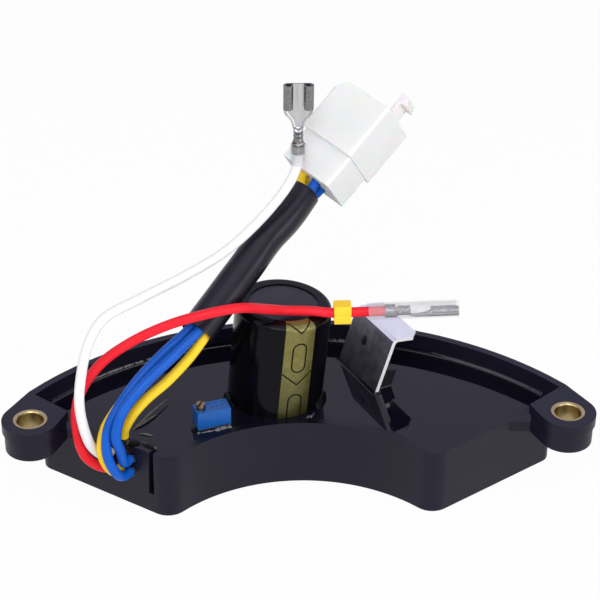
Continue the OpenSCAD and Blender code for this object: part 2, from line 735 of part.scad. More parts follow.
block_l = 14;
block_w = 6.4;
block_h = 6;
block_lead = 0.8;
block_lift = 0.6;
block_lead_in = 2;
block_gap = 1.6;
block_in = 15.6;
block_s = 23.2;
block_shift = 2;
block_at = on_side(block_in, block_s);
block_places = [block_at, block_at + [-block_shift, block_w + block_gap]];
module all_blocks(part, g = 0) {
    for (p = block_places) translate([p.x, p.y, board_top]) {
        if (part == "body") translate([-block_l / 2 - g, -block_w / 2 - g, block_lift - g])
            cube([block_l + 2 * g, block_w + 2 * g, block_h + 2 * g]);
        if (part == "leads") for (i = [-1, 1]) translate([i * (block_l / 2 - block_lead_in), 0, 0])
            cylinder(h = block_lift, d = block_lead + 2 * g);
    }
}
module power_resistors() { color([0.9, 0.89, 0.85]) framed() all_blocks("body"); }
module resistor_leads() { color([0.8, 0.8, 0.82]) framed() all_blocks("leads"); }

film_l = 10;
film_w = 4.5;
film_h = 7;
film_gap = 2.5;
film_in = 11.7;
film_s = 13;
film_at = left(on_side(film_in, film_s));
film_places = [film_at, film_at + [film_l / 2, film_w + film_gap]];
module all_films(g = 0) {
    for (p = film_places) translate([p.x - film_l / 2 - g, p.y - film_w / 2 - g, board_top])
        cube([film_l + 2 * g, film_w + 2 * g, film_h + g]);
}
module film_capacitors() { color([0.7, 0.2, 0.15]) framed() all_films(); }

signal_d = 2.4;
signal_l = 6;
signal_lead = 0.6;
signal_gap = 1.3;
signal_pitch = signal_d + signal_gap;
signal_in = 8.9;
signal_s = 7.5;
signal_at = on_side(signal_in, signal_s);
signal_places = [
    for (i = [0:2]) signal_at + [0, i * signal_pitch],
    signal_at + [signal_l + 2 * axial_reach + 2 * signal_gap, 2 * signal_pitch]];
module all_signals(part, g = 0) {
    for (p = signal_places) axial_at(p, 0) {
        if (part == "body") axial_body(signal_d, signal_l, g);
        if (part == "leads") axial_leads(signal_d, signal_l, signal_lead, g);
    }
}
module signal_resistors() { color([0.8, 0.68, 0.5]) framed() all_signals("body"); }
module signal_leads() { color([0.8, 0.8, 0.82]) framed() all_signals("leads"); }

driver_r = 2.3;
driver_h = 4.6;
driver_lift = 1.6;
driver_flat = 0.6;
driver_pitch = 1.27;
driver_lead = 0.5;
driver_in = 7.3;
driver_x = [-14, -4];
driver_places = [for (x = driver_x) inside_rear(x, driver_in)];
module all_drivers(part, g = 0) {
    for (p = driver_places) translate([p.x, p.y, board_top]) {
        if (part == "body") translate([0, 0, driver_lift - g]) linear_extrude(driver_h + 2 * g)
            intersection() {
                circle(driver_r + g);
                translate([-2 * driver_r, -driver_r * driver_flat - g]) square(4 * driver_r);
            }
        if (part == "leads") for (i = [-1:1]) translate([i * driver_pitch, 0, 0])
            cylinder(h = driver_lift, d = driver_lead + 2 * g);
    }
}
module driver_transistors() { color([0.1, 0.1, 0.1]) framed() all_drivers("body"); }
module driver_leads() { color([0.8, 0.8, 0.82]) framed() all_drivers("leads"); }

// Everything that is cast into the potting
module cast_in() {
    g = cast_gap;
    board_solid(g);
    in_capacitor() translate([0, 0, -g]) cylinder(h = cap_l, d = cap_d + 2 * g);
    capacitor_pin_solid(g);
    sink_solid(g);
    fet_body_solid(g);
    fet_lead_solid(g);
    in_trimmer() trimmer_solid(g);
    trimmer_pin_solid(g);
    all_diodes("body", g);
    all_diodes("leads", g);
    all_blocks("body", g);
    all_blocks("leads", g);
    all_films(g);
    all_signals("body", g);
    all_signals("leads", g);
    all_drivers("body", g);
    all_drivers("leads", g);
}

module potting() {
    slot_h = tray_h - slot_z;
    color([0.1, 0.1, 0.12]) framed() difference() {
        union() {
            translate([0, 0, floor_t]) linear_extrude(tray_h - floor_t) tray_plan(wall_t);
            // Tongue that fills the wire slot, shrunk away from its front edge
            on_left_wall(slot_s, slot_z) rotate([90, 0, 0]) linear_extrude(wall_t + past)
                polygon([[slit_foot, 0], [slot_w, 0], [slot_w, slot_h], [slit_top, slot_h]]);
        }
        for (p = posts) translate([p.x, p.y, 0]) cylinder(h = board_z, d = post_d);
        cast_in();
    }
}

// Tubes along a route, with the side on which their first ring starts
ring_start = [0.3, 0.9, 0.31];
function unit(v) = v / norm(v);
function heading(p, i) = unit(p[min(i + 1, len(p) - 1)] - p[max(i - 1, 0)]);
function across(v, t) = unit(v - t * (v * t));
function normals(p, i, last) =
    i == len(p) ? [] : let (n = across(last, heading(p, i))) concat([n], normals(p, i + 1, n));
function ring(c, t, n, r, sides) =
    let (b = cross(t, n))
    [for (k = [0:sides - 1]) c + r * (n * cos(360 * k / sides) + b * sin(360 * k / sides))];
function rings(p, r, sides) =
    let (n = normals(p, 0, ring_start))
    [for (i = [0:len(p) - 1]) each ring(p[i], heading(p, i), n[i], r[i], sides)];
function skin(count, sides, first, flip) = [for (i = [0:count - 2], k = [0:sides - 1])
    let (a = first + i * sides + k, b = first + i * sides + (k + 1) % sides)
    flip ? [a, b, b + sides, a + sides] : [a, a + sides, b + sides, b]];
function fill(count, value) = [for (i = [1:count]) value];

module rod(route, d, sides = 8) {
    n = len(route);
    polyhedron(
        rings(route, fill(n, d / 2), sides),
        concat(
            skin(n, sides, 0, false),
            [[for (k = [0:sides - 1]) k]],
            [[for (k = [sides - 1:-1:0]) (n - 1) * sides + k]]));
}

module hose(route, outer, wall, sides = 12) {
    n = len(route);
    inner = n * sides;
    polyhedron(
        concat(rings(route, outer, sides), rings(route, [for (r = outer) r - wall], sides)),
        concat(
            skin(n, sides, 0, false),
            skin(n, sides, inner, true),
            [for (k = [0:sides - 1]) let (j = (k + 1) % sides) [k, j, inner + j, inner + k]],
            [for (k = [0:sides - 1]) let (j = (k + 1) % sides, a = (n - 1) * sides)
                [a + j, a + k, inner + a + k, inner + a + j]]));
}

// First two points of a wire that leaves the slot in a column and row, straight out of the wall
function leave(column, row) =
    let (s = wire_s[column])
    let (p = [-corner.x - s * side_dir.x, corner.y + s * side_dir.y, wire_z[row]])
    [p, p + wire_d * [-side_dir.y, -side_dir.x, 0]];

// A wire's places inside the harness sleeve, twisting from its lower to its upper end
loom_spread = 2.05;
loom_twist = plug_turn - 135;
// Directions across the connector's axis: to its right and to the raised front
raised_front = [-0.041, -0.852, 0.523];
loom_side = unit(cross(plug_axis, raised_front));
loom_face = cross(loom_side, plug_axis);
function in_loom(angle) = [for (i = [0:len(loom_route) - 1])
    let (a = angle + loom_twist * i / (len(loom_route) - 1))
    loom_route[i] + loom_spread * (loom_side * cos(a) + loom_face * sin(a))];
entry_run = 1;
function into_plug(angle) =
    let (a = angle + loom_twist)
    let (p = plug_at + plug_spread * (loom_side * cos(a) + loom_face * sin(a)))
    [p - plug_axis * entry_run, p + plug_axis * (entry_l - entry_run)];
function loom_wire(route, angle) = concat(route, in_loom(angle), into_plug(angle));

module white_wire() { color([0.95, 0.95, 0.95]) framed() rod(concat(leave(2, 1), white_route), wire_d); }
module red_wire() { color([0.9, 0.1, 0.15]) framed() rod(concat(leave(2, 0), red_route), wire_d); }
module blue_wire_1() {
    color([0.1, 0.4, 0.85]) framed() rod(loom_wire(concat(leave(0, 0), blue_1_route), 180), wire_d);
}
module blue_wire_2() {
    color([0.1, 0.4, 0.85]) framed() rod(loom_wire(concat(leave(0, 1), blue_2_route), 90), wire_d);
}
module yellow_wire_1() {
    color([1, 0.83, 0.2]) framed() rod(loom_wire(concat(leave(1, 0), yellow_1_route), 270), wire_d);
}
module yellow_wire_2() {
    color([1, 0.83, 0.2]) framed() rod(loom_wire(yellow_2_route, 0), wire_d);
}

module harness_sleeve() {
    last = len(loom_route) - 1;
    radii = [for (i = [0:last]) (i == last ? loom_end_d : loom_d) / 2];
    color([0.08, 0.08, 0.09]) framed() hose(loom_route, radii, loom_t);
}

// Local frame of the connector: z along its mating axis, x out of its upper face, y out of the latch's side
plug_up = loom_face * cos(plug_turn) - loom_side * sin(plug_turn);
plug_down0 = [sin(plug_rise) * cos(plug_heading), sin(plug_rise) * sin(plug_heading), -cos(plug_rise)];
plug_left0 = [-sin(plug_heading), cos(plug_heading), 0];
plug_roll = atan2(plug_up * plug_left0, plug_up * plug_down0);
module in_plug() {
    translate(plug_at) rotate([0, 0, plug_heading]) rotate([0, 90 - plug_rise, 0]) rotate([0, 0, plug_roll])
        children();
}
module rounded_block(w, h, r) {
    square([w - 2 * r, h], center = true);
    square([w, h - 2 * r], center = true);
    for (i = [-1, 1], j = [-1, 1]) translate([i * (w / 2 - r), j * (h / 2 - r)]) circle(r);
}
plug_total = plug_rear_l + plug_l;
latch_root = 3;
latch_nose = 0.4;
module connector_latch() {
    inner = plug_w / 2 - plug_wall;
    outer = plug_w / 2;
    tip = plug_total + latch_reach;
    translate([latch_x - latch_w / 2, 0, 0]) rotate([90, 0, 90]) linear_extrude(latch_w) polygon([
        [inner, plug_total - latch_root], [outer, plug_total - latch_root], [outer, tip - latch_hook_l],
        [outer + latch_hook, tip - latch_hook_l], [outer + latch_hook * latch_nose, tip], [inner, tip]]);
}
module connector_housing() {
    color([0.93, 0.93, 0.92]) framed() in_plug() {
        difference() {
            union() {
                linear_extrude(plug_rear_l + join) rounded_block(plug_rear_h, plug_rear_w, plug_edge_r);
                translate([0, 0, plug_rear_l]) linear_extrude(plug_l)
                    rounded_block(plug_h, plug_w, plug_edge_r);
            }
            translate([0, 0, plug_total - plug_mouth]) linear_extrude(plug_mouth + past)
                rounded_block(plug_h - 2 * plug_wall, plug_w - 2 * plug_wall, plug_edge_r / 2);
            // Bevelled mating edge
            translate([0, -plug_w / 2, plug_total]) rotate([45, 0, 0])
                cube([2 * plug_h, plug_bevel * sqrt(2), plug_bevel * sqrt(2)], center = true);
            // Wire entries
            rotate([0, 0, 45]) for (a = [0:90:270]) rotate([0, 0, a]) translate([plug_spread, 0, -past])
                cylinder(h = entry_l + past, d = wire_d + 2 * entry_fit);
        }
        connector_latch();
    }
}
// Contacts end short of the mouth's rim
blade_back = 2;
module connector_contacts() {
    color([0.8, 0.78, 0.7]) framed() in_plug() translate([0, 0, plug_total - plug_mouth])
        for (i = [-1, 1], j = [-1, 1]) translate([i * blade_pitch_h / 2, j * blade_pitch_w / 2, 0])
        translate([-blade_t / 2, -blade_w / 2, 0]) cube([blade_t, blade_w, plug_mouth - blade_back]);
}

// Female blade terminal along +x: insulation grip, bare gap, conductor crimp, neck and receptacle
bare_l = 0.6;
crimp_at = grip_l + bare_l;
tab_at = crimp_at + crimp_l + neck_l;
terminal_l = tab_at + tab_l;
core_d = 1.7;
strip_w = 2.4;
wire_fit = 0.02;
grip_r = wire_d / 2 + wire_fit;
grip_slit = 0.5;

// Section of one rolled side, open toward the other
module curl(side) {
    mouth = 2 * tab_curl_r - 2 * tab_t;
    translate([side * (tab_w / 2 - tab_curl_r), tab_curl_r]) difference() {
        circle(tab_curl_r);
        circle(tab_curl_r - tab_t);
        translate([-side * 2 * tab_curl_r, 0]) square([2 * tab_curl_r, mouth], center = true);
    }
}
// Section of a crimp that is rolled round a core of radius r
module crimp_section(r, slit) {
    difference() {
        circle(r + tab_t);
        circle(r);
        translate([0, r]) square([slit, r], center = true);
    }
}
module terminal() {
    strip_from = grip_l - tab_t;
    floor_y = -grip_r - tab_t;
    core_r = core_d / 2 + wire_fit;
    shoulder_w = tab_w - tab_curl_r;
    // Tapered shoulder between the neck and the receptacle
    translate([0, 0, floor_y]) linear_extrude(tab_t) polygon([
        [tab_at - shoulder_l, -strip_w / 2], [tab_at + tab_t, -shoulder_w / 2],
        [tab_at + tab_t, shoulder_w / 2], [tab_at - shoulder_l, strip_w / 2]]);
    rotate([90, 0, 90]) {
        linear_extrude(grip_l) crimp_section(grip_r, grip_slit);
        translate([0, 0, crimp_at]) linear_extrude(crimp_l) crimp_section(core_r, grip_slit / 2);
        // Floor strip that carries the crimps and the neck
        translate([-strip_w / 2, floor_y, strip_from]) cube([strip_w, tab_t, tab_at - strip_from + tab_t]);
        translate([-strip_w / 2, -grip_r - join, crimp_at]) cube([strip_w, grip_r - core_r, crimp_l]);
        translate([0, floor_y, tab_at]) linear_extrude(tab_l) {
            translate([-tab_w / 2 + tab_curl_r, 0]) square([tab_w - 2 * tab_curl_r, tab_t]);
            curl(-1);
            curl(1);
        }
    }
}

// Local frame of the terminal on the end of a route, a grip's length back from the end
module on_end(route, roll) {
    last = route[len(route) - 1];
    t = unit(last - route[len(route) - 2]);
    translate(last - t * grip_l) rotate([0, 0, atan2(t.y, t.x)]) rotate([0, -asin(t.z), 0])
        rotate([roll, 0, 0]) children();
}
red_roll = -30;
white_roll = 90;
module red_terminal() { color([0.78, 0.78, 0.8]) framed() on_end(red_route, red_roll) terminal(); }
module white_terminal() { color([0.78, 0.78, 0.8]) framed() on_end(white_route, white_roll) terminal(); }

// Stripped copper ends of the red and white wires
module core() {
    translate([grip_l, 0, 0]) rotate([0, 90, 0]) cylinder(h = bare_l + crimp_l + bare_l, d = core_d);
}
module wire_cores() {
    color([0.8, 0.45, 0.3]) framed() {
        on_end(red_route, red_roll) core();
        on_end(white_route, white_roll) core();
    }
}

// Clear cover over the whole red terminal, and how far it reaches back over the wire
clear_fit = 0.05;
clear_back = 4.2;
clear_flat = 0.4;
module red_terminal_sleeve() {
    h = 2 * (grip_r + tab_t + clear_fit);
    w = tab_w + 2 * clear_fit;
    edge_r = (h - clear_flat) / 2;
    color([0.85, 0.88, 0.9, 0.4]) framed() on_end(red_route, red_roll) translate([-clear_back, 0, 0])
        rotate([90, 0, 90]) linear_extrude(terminal_l + clear_back + clear_fit) difference() {
            rounded_block(w + 2 * clear_t, h + 2 * clear_t, edge_r);
            rounded_block(w, h, edge_r - clear_t);
        }
}

// Clear cover pushed back on the white wire
clear_short = 5;
module white_terminal_sleeve() {
    inner = grip_r + tab_t + clear_fit;
    color([0.85, 0.88, 0.9, 0.4]) framed() on_end(white_route, white_roll)
        translate([grip_l - tab_t - clear_fit - clear_short, 0, 0]) rotate([90, 0, 90])
        linear_extrude(clear_short) difference() {
            circle(inner + clear_t);
            circle(inner);
        }
}

// Marker clipped round the red wire
marker_w = 4;
marker_edge_r = 0.6;
marker_crease = 0.4;
marker_s = 3;
module wire_marker() {
    a = red_route[len(red_route) - 3];
    b = red_route[len(red_route) - 2];
    t = unit(b - a);
    mid = a + t * marker_s;
    color([1, 0.8, 0.1]) framed() translate(mid) rotate([0, 0, atan2(t.y, t.x)]) rotate([0, -asin(t.z), 0])
        rotate([90, 0, 90]) translate([0, 0, -marker_l / 2]) linear_extrude(marker_l) difference() {
            rounded_block(marker_w, marker_h, marker_edge_r);
            circle(wire_d / 2);
            translate([-marker_w / 2, 0]) rotate(45) square(marker_crease, center = true);
        }
}

tray();
left_bush();
right_bush();
potting();
circuit_board();
capacitor_can();
capacitor_sleeve();
capacitor_top_disc();
capacitor_bung();
capacitor_pins();
heat_sink();
transistor_body();
transistor_tab();
transistor_screw();
trimmer_body();
trimmer_screw();
trimmer_pins();
rectifier_diodes();
diode_leads();
power_resistors();
resistor_leads();
film_capacitors();
signal_resistors();
signal_leads();
driver_transistors();
driver_leads();
white_wire();
red_wire();
blue_wire_1();
blue_wire_2();
yellow_wire_1();
yellow_wire_2();
harness_sleeve();
connector_housing();
connector_contacts();
wire_cores();
red_terminal();
red_terminal_sleeve();
wire_marker();
white_terminal();
white_terminal_sleeve();
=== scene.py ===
import logging
import math
from dataclasses import dataclass, replace
from enum import Enum
from typing import Any, Callable, Sequence

import bmesh
import bpy
from mathutils import Matrix, Vector, noise


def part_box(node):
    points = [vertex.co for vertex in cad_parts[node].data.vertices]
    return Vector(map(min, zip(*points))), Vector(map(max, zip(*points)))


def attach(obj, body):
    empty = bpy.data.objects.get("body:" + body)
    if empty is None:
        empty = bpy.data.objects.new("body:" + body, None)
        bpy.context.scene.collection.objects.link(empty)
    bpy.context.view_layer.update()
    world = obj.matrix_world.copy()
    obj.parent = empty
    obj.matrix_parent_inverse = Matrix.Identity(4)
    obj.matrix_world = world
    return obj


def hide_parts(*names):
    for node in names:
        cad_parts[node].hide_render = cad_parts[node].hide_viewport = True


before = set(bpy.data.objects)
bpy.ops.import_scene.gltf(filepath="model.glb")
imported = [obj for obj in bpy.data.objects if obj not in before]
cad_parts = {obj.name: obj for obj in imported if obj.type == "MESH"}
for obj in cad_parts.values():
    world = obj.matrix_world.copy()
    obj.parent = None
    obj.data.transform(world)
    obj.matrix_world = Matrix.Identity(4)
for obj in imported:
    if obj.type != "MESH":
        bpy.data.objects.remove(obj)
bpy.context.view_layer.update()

LOG = logging.getLogger("regulator")
NODES: dict[str, bpy.types.Object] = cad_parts
MM = 0.001
# Height of the potting's surface, in millimetres.
POTTING_TOP = 17.8
# Points of a mesh that are closer than this, in millimetres, are one point.
WELD_MM = 0.002
# Angles between faces, in degrees: below the first they lie flat, above the second their edge is eased.
FLAT_ANGLE = 0.6
SHARP_ANGLE = 28.0
# Noise seldom leaves this span, so it is stretched over the whole range of roughness.
NOISE_SPAN = (0.3, 0.7)
# Patches of gloss are this much larger than patches of tone.
GLOSS_PATCH = 2.3
Outline = Callable[[float], list[tuple[float, float]]]
Table = tuple[tuple[float, ...], ...]


class Body(Enum):
    """The rigid bodies of the part."""

    REGULATOR = "regulator"
    ADJUSTER = "adjuster"


def linear(colour: str) -> tuple[float, float, float, float]:
    """Turns an sRGB hex colour into linear RGBA.

    Args:
        colour: Six hex digits with a leading hash.

    Returns:
        Linear red, green, blue and an alpha of 1.
    """
    parts = [int(colour[i:i + 2], 16) / 255 for i in (1, 3, 5)]
    r, g, b = (c / 12.92 if c <= 0.04045 else ((c + 0.055) / 1.055) ** 2.4 for c in parts)
    return (r, g, b, 1.0)


def middle(node: str) -> Vector:
    """Returns the middle of a node's box at rest, in metres."""
    low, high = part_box(node)
    return (Vector(low) + Vector(high)) / 2


# The hole line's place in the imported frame.
HOLE_Y = middle("left_bush").y


def row(x: float, y: float, z: float) -> Vector:
    """Turns millimetres from the hole line into a point of the row frame, in metres."""
    return Vector((x * MM, y * MM + HOLE_Y, z * MM))


@dataclass(frozen=True)
class Seat:
    """A piece's own axes: where they start in the row frame and how they are turned."""

    origin: Vector
    turn: Matrix

    def at(self, x: float, y: float, z: float) -> Vector:
        """Turns the piece's own millimetres into a point of the row frame."""
        return self.origin + self.turn @ Vector((x, y, z)) * MM


def turned(degrees: float, axis: str) -> Matrix:
    """Returns the matrix of a turn about one of the axes."""
    return Matrix.Rotation(math.radians(degrees), 3, axis)


def add_node(
    tree: bpy.types.NodeTree, kind: str, links: dict[Any, Any] | None = None, **settings: Any
) -> bpy.types.Node:
    """Adds a shader node with its settings, values and links.

    Args:
        tree: The tree that gets the node.
        kind: Blender's name of the node type, without its ShaderNode prefix.
        links: Input name or index to a value or an output socket.
        **settings: Attributes of the node.

    Returns:
        The new node.
    """
    node = tree.nodes.new("ShaderNode" + kind)
    for key, value in settings.items():
        setattr(node, key, value)
    for key, value in (links or {}).items():
        if isinstance(value, bpy.types.NodeSocket):
            tree.links.new(value, node.inputs[key])
        else:
            node.inputs[key].default_value = value
    return node


@dataclass(frozen=True)
class Finish:
    """A surface: two close tones mottled over each other, uneven gloss and a fine relief.

    The tones lie in patches of mottle_mm. The relief has grains of grain_mm and a height of relief_mm.
    stretch draws both out along the axes where it is small. glow is the share of light that spreads
    under the surface, over glow_mm.
    """

    name: str
    tone: str
    second: str
    roughness: float
    rough_span: float = 0.06
    metallic: float = 0.0
    ior: float = 1.5
    mottle_mm: float = 6.0
    grain_mm: float = 0.6
    relief_mm: float = 0.01
    stretch: tuple[float, float, float] = (1.0, 1.0, 1.0)
    specular: float = 0.5
    alpha: float = 1.0
    glow_mm: float = 0.0
    glow: float = 0.0

    def build(self) -> bpy.types.Material:
        """Makes the material, or returns it where it is made already.

        Returns:
            A material whose tone, roughness and relief come from its nodes.
        """
        material = bpy.data.materials.get(self.name)
        if material:
            return material
        material = bpy.data.materials.new(self.name)
        material.use_nodes = True
        tree = material.node_tree
        tree.nodes.clear()
        place = add_node(tree, "TexCoord").outputs["Object"]
        laid = add_node(tree, "Mapping", {"Vector": place, "Scale": self.stretch}).outputs["Vector"]
        shader = add_node(tree, "BsdfPrincipled", {
            "Base Color": self.tone_socket(tree, laid, place),
            "Roughness": self.rough_socket(tree, laid),
            "Normal": self.normal_socket(tree, laid),
            "Metallic": self.metallic,
            "IOR": self.ior,
            "Specular IOR Level": self.specular,
            "Alpha": self.alpha,
            "Subsurface Weight": self.glow,
            "Subsurface Scale": self.glow_mm * MM,
        })
        add_node(tree, "OutputMaterial", {"Surface": shader.outputs["BSDF"]})
        return material

    def tone_socket(self, tree: bpy.types.NodeTree, laid: Any, place: Any) -> Any:
        """Returns the socket with the mottled tone."""
        spots = add_node(tree, "TexNoise", {
            "Vector": laid, "Scale": 1 / (self.mottle_mm * MM), "Detail": 4.0})
        mix = add_node(tree, "Mix", {
            0: spots.outputs[0], 6: linear(self.tone), 7: linear(self.second)}, data_type="RGBA")
        return mix.outputs[2]

    def rough_socket(self, tree: bpy.types.NodeTree, laid: Any) -> Any:
        """Returns the socket with the uneven roughness."""
        smear = add_node(tree, "TexNoise", {
            "Vector": laid, "Scale": 1 / (GLOSS_PATCH * self.mottle_mm * MM), "Detail": 3.0})
        span = add_node(tree, "MapRange", {
            0: smear.outputs[0], 1: NOISE_SPAN[0], 2: NOISE_SPAN[1],
            3: max(0.02, self.roughness - self.rough_span), 4: self.roughness + self.rough_span})
        return span.outputs[0]

    def normal_socket(self, tree: bpy.types.NodeTree, laid: Any) -> Any:
        """Returns the socket with the fine relief."""
        grain = add_node(tree, "TexNoise", {
            "Vector": laid, "Scale": 1 / (self.grain_mm * MM), "Detail": 2.0})
        bump = add_node(tree, "Bump", {
            "Height": grain.outputs[0], "Distance": self.relief_mm * MM, "Strength": 1.0})
        return bump.outputs["Normal"]


@dataclass(frozen=True)
class FootShadedFinish(Finish):
    """A finish with painted shade: a dark tone laid over it in wavy streaks, more so towards its foot."""

    # The smear colour is painted shade, full at the foot and gone towards the top.
    smear: str = "#17171c"
    foot_mm: float = POTTING_TOP + 8.0
    unshaded_mm: float = POTTING_TOP + 30.0
    streak_mm: float = 4.0
    wander_mm: float = 26.0

    def tone_socket(self, tree: bpy.types.NodeTree, laid: Any, place: Any) -> Any:
        """Returns the socket with the unshaded tone and the painted shade over it."""
        unshaded_tone = super().tone_socket(tree, laid, place)
        height = add_node(tree, "SeparateXYZ", {0: place}).outputs["Z"]
        shade_streaks = add_node(tree, "TexNoise", {
            "Vector": place, "Scale": 1 / (self.streak_mm * MM), "Detail": 8.0, "Roughness": 0.7})
        wavy = add_node(tree, "Math", {
            0: shade_streaks.outputs[0], 1: self.wander_mm * MM, 2: height}, operation="MULTIPLY_ADD")
        share = add_node(tree, "MapRange", {
            0: wavy.outputs[0], 1: self.foot_mm * MM, 2: self.unshaded_mm * MM, 3: 1.0, 4: 0.0})
        mix = add_node(tree, "Mix", {
            0: share.outputs[0], 6: unshaded_tone, 7: linear(self.smear)}, data_type="RGBA")
        return mix.outputs[2]


# Glass-filled nylon, injection moulded in a spark-eroded tool: dark, with a fine even grain.
# The grain of 0.1 mm is drawn as 0.35 mm so that it shows.
TRAY_NYLON = Finish(
    "moulded_glass_filled_nylon", "#110f1d", "#161425", 0.42, 0.05, 0.0, 1.3, 9.0, 0.35, 0.012)
# Cast epoxy: flows level before it sets, so it mirrors what stands in it with a faint waviness.
POTTING_EPOXY = Finish(
    "cast_black_epoxy", "#090813", "#0d0c1a", 0.04, 0.02, 0.0, 1.325, 7.0, 9.0, 0.02)
# The same epoxy where it ran thinly over the low walls: less level, so less of a mirror.
OVERRUN_EPOXY = replace(POTTING_EPOXY, name="overrun_black_epoxy", roughness=0.26, rough_span=0.05)
# The same epoxy where it set against the air in the wire slot: satin.
SATIN_EPOXY = Finish("set_black_epoxy", "#110f1d", "#161425", 0.42, 0.05, 0.0, 1.3, 5.0, 0.5, 0.012)
# Dabs of it put on by brush: thick, wet and very glossy.
DABBED_EPOXY = Finish("dabbed_black_epoxy", "#08070d", "#0c0b12", 0.09, 0.05, 0.0, 1.55, 2.0, 1.2, 0.05)
# Small beads of it at the feet: black, with grey patches painted on as their broken glints.
BEADED_EPOXY_PAINTED_GLINTS = replace(
    DABBED_EPOXY, name="black_epoxy_beads_painted_glints", tone="#121116", second="#6f6e75", ior=1.65, mottle_mm=0.7)
# The same where it was wiped thin round a foot: black and dull. Its flat patches over the wire slot are
# painted shade that stands for the dark pit there.
WIPED_EPOXY_AND_PIT_SHADE = Finish("wiped_black_epoxy_and_painted_pit_shade", "#050509", "#0a0a10", 0.3, 0.08, 0.0, 1.15, 2.0, 1.2, 0.03)
# Slivers that it drew out while it set: thin, so greyish brown.
EPOXY_SLIVER = Finish("drawn_epoxy_sliver", "#3a3831", "#6d695c", 0.2, 0.08, 0.0, 1.5, 1.2, 0.8, 0.02)
# Free-cutting brass, turned: dull gold with fine rings.
BUSH_BRASS = Finish("turned_brass", "#8d7a50", "#c2b184", 0.30, 0.08, 1.0, 1.5, 2.0, 0.4, 0.01)
# Shrunk PVC film: tight and glossy, with faint lines drawn along the can.
SHRINK_FILM = Finish(
    "shrunk_black_pvc", "#050508", "#08080d", 0.14, 0.04, 0.0, 1.2, 5.0, 1.2, 0.006, (1, 1, 0.1))
# Fibre disc under the film's lap: satin black.
FIBRE_DISC = Finish(
    "black_fibre_disc", "#111119", "#181822", 0.35, 0.05, 0.0, 1.36, 3.0, 0.3, 0.01)
# Gold ink of the polarity stripe: flat, a little metallic, worn in small patches, and darkened by painted
# shade towards its foot.
GOLD_INK = FootShadedFinish(
    "gold_ink", "#5c5728", "#857e46", 0.32, 0.08, 0.5, 1.5, 1.3, 0.3, 0.008, smear="#1c1a0a",
    foot_mm=POTTING_TOP - 2.0, unshaded_mm=POTTING_TOP + 18.0, streak_mm=2.0, wander_mm=4.0)
# Black ink of the marks on the stripe.
BLACK_INK = Finish("black_ink", "#050504", "#0a0a08", 0.35, 0.05, 0.0, 1.15, 1.0, 0.3, 0.005)
# Drawn aluminium of the can.
CAN_ALUMINIUM = Finish(
    "drawn_aluminium", "#b4b7bb", "#c7cacd", 0.32, 0.06, 1.0, 1.5, 4.0, 0.8, 0.01, (1, 1, 0.1))
# Rolled aluminium sheet: bright, with fine rolling lines and handling marks.
SINK_ALUMINIUM = Finish(
    "rolled_aluminium", "#e0e0de", "#f3f3f1", 0.24, 0.08, 1.0, 1.5, 3.0, 0.7, 0.008, (1, 0.2, 1))
# Its face towards the capacitor: a darker, less metallic copy of the aluminium that paints in the dark
# reflection it shows, with painted shade growing towards its foot.
SINK_FACE_PAINTED_DARK = FootShadedFinish(
    "aluminium_face_painted_reflection", "#53525d", "#74737f", 0.40, 0.10, 0.35, 1.5, 2.0, 0.7, 0.02)
# Transfer-moulded epoxy of the transistors and diodes: matt black.
MOULD_COMPOUND = Finish("transfer_moulded_epoxy", "#0d0d10", "#141418", 0.55, 0.05, 0.0, 1.35, 2.0, 0.2, 0.01)
# Sheared edge of the same sheet: torn bright, so it scatters light.
SHEARED_EDGE = Finish("sheared_aluminium", "#d2d2d6", "#ececef", 0.5, 0.08, 0.0, 1.5, 0.8, 0.3, 0.02)
# Tin plate over copper alloy: bright, with lines drawn along the strip.
TIN_PLATE = Finish("tin_plate", "#a9a9a9", "#d9d9d8", 0.26, 0.08, 1.0, 1.5, 1.1, 0.5, 0.01)
RED_TIN = replace(
    TIN_PLATE, name="tin_plate_red_end", tone="#4c4c4c", second="#e6e6e6", mottle_mm=0.5,
    stretch=(0.05, 1.0, 1.0))
WHITE_TIN = replace(TIN_PLATE, name="tin_plate_white_end", mottle_mm=0.7, stretch=(1.0, 1.0, 0.08))
# The same plate on its rolled sides and crimped barrels: clouded grey, painted shade for the hollows of the
# rolls and the crimp.
ROLLED_TIN_PAINTED_SHADE = Finish("tin_plate_painted_shade", "#5f5f60", "#9a9a9a", 0.30, 0.10, 1.0, 1.5, 0.7, 0.5, 0.02)
# Zinc-plated steel of the screw: bright with a blue cast.
ZINC_STEEL = Finish("zinc_plated_steel", "#b7babd", "#d4d6d8", 0.25, 0.08, 1.0, 1.5, 1.5, 0.3, 0.01)
# Blue thermoplastic polyester case of the trimmer: satin from the tool.
TRIMMER_CASE = Finish("moulded_blue_polyester", "#0a4c98", "#155cac", 0.34, 0.06, 0.0, 1.42, 2.0, 0.25, 0.01)
# Slotted brass screw: dull gold, worn by the screwdriver.
TRIMMER_BRASS = Finish("slotted_brass", "#6c5a44", "#a08a68", 0.28, 0.08, 1.0, 1.5, 1.0, 0.3, 0.01)
# Plasticised PVC wire jackets: waxy, faintly uneven from the extruder.
JACKET_WHITE = Finish(
    "white_pvc_jacket", "#e9e9ea", "#efeff0", 0.45, 0.06, 0.0, 1.45, 4.0, 1.5, 0.01, specular=0.25)
JACKET_RED = Finish(
    "red_pvc_jacket", "#e01424", "#ea2838", 0.42, 0.06, 0.0, 1.45, 4.0, 1.5, 0.01, specular=0.22)
JACKET_BLUE = replace(JACKET_RED, name="blue_pvc_jacket", tone="#0a50b2", second="#125fc8")
JACKET_YELLOW = replace(JACKET_RED, name="yellow_pvc_jacket", tone="#f4c81e", second="#fad63c")
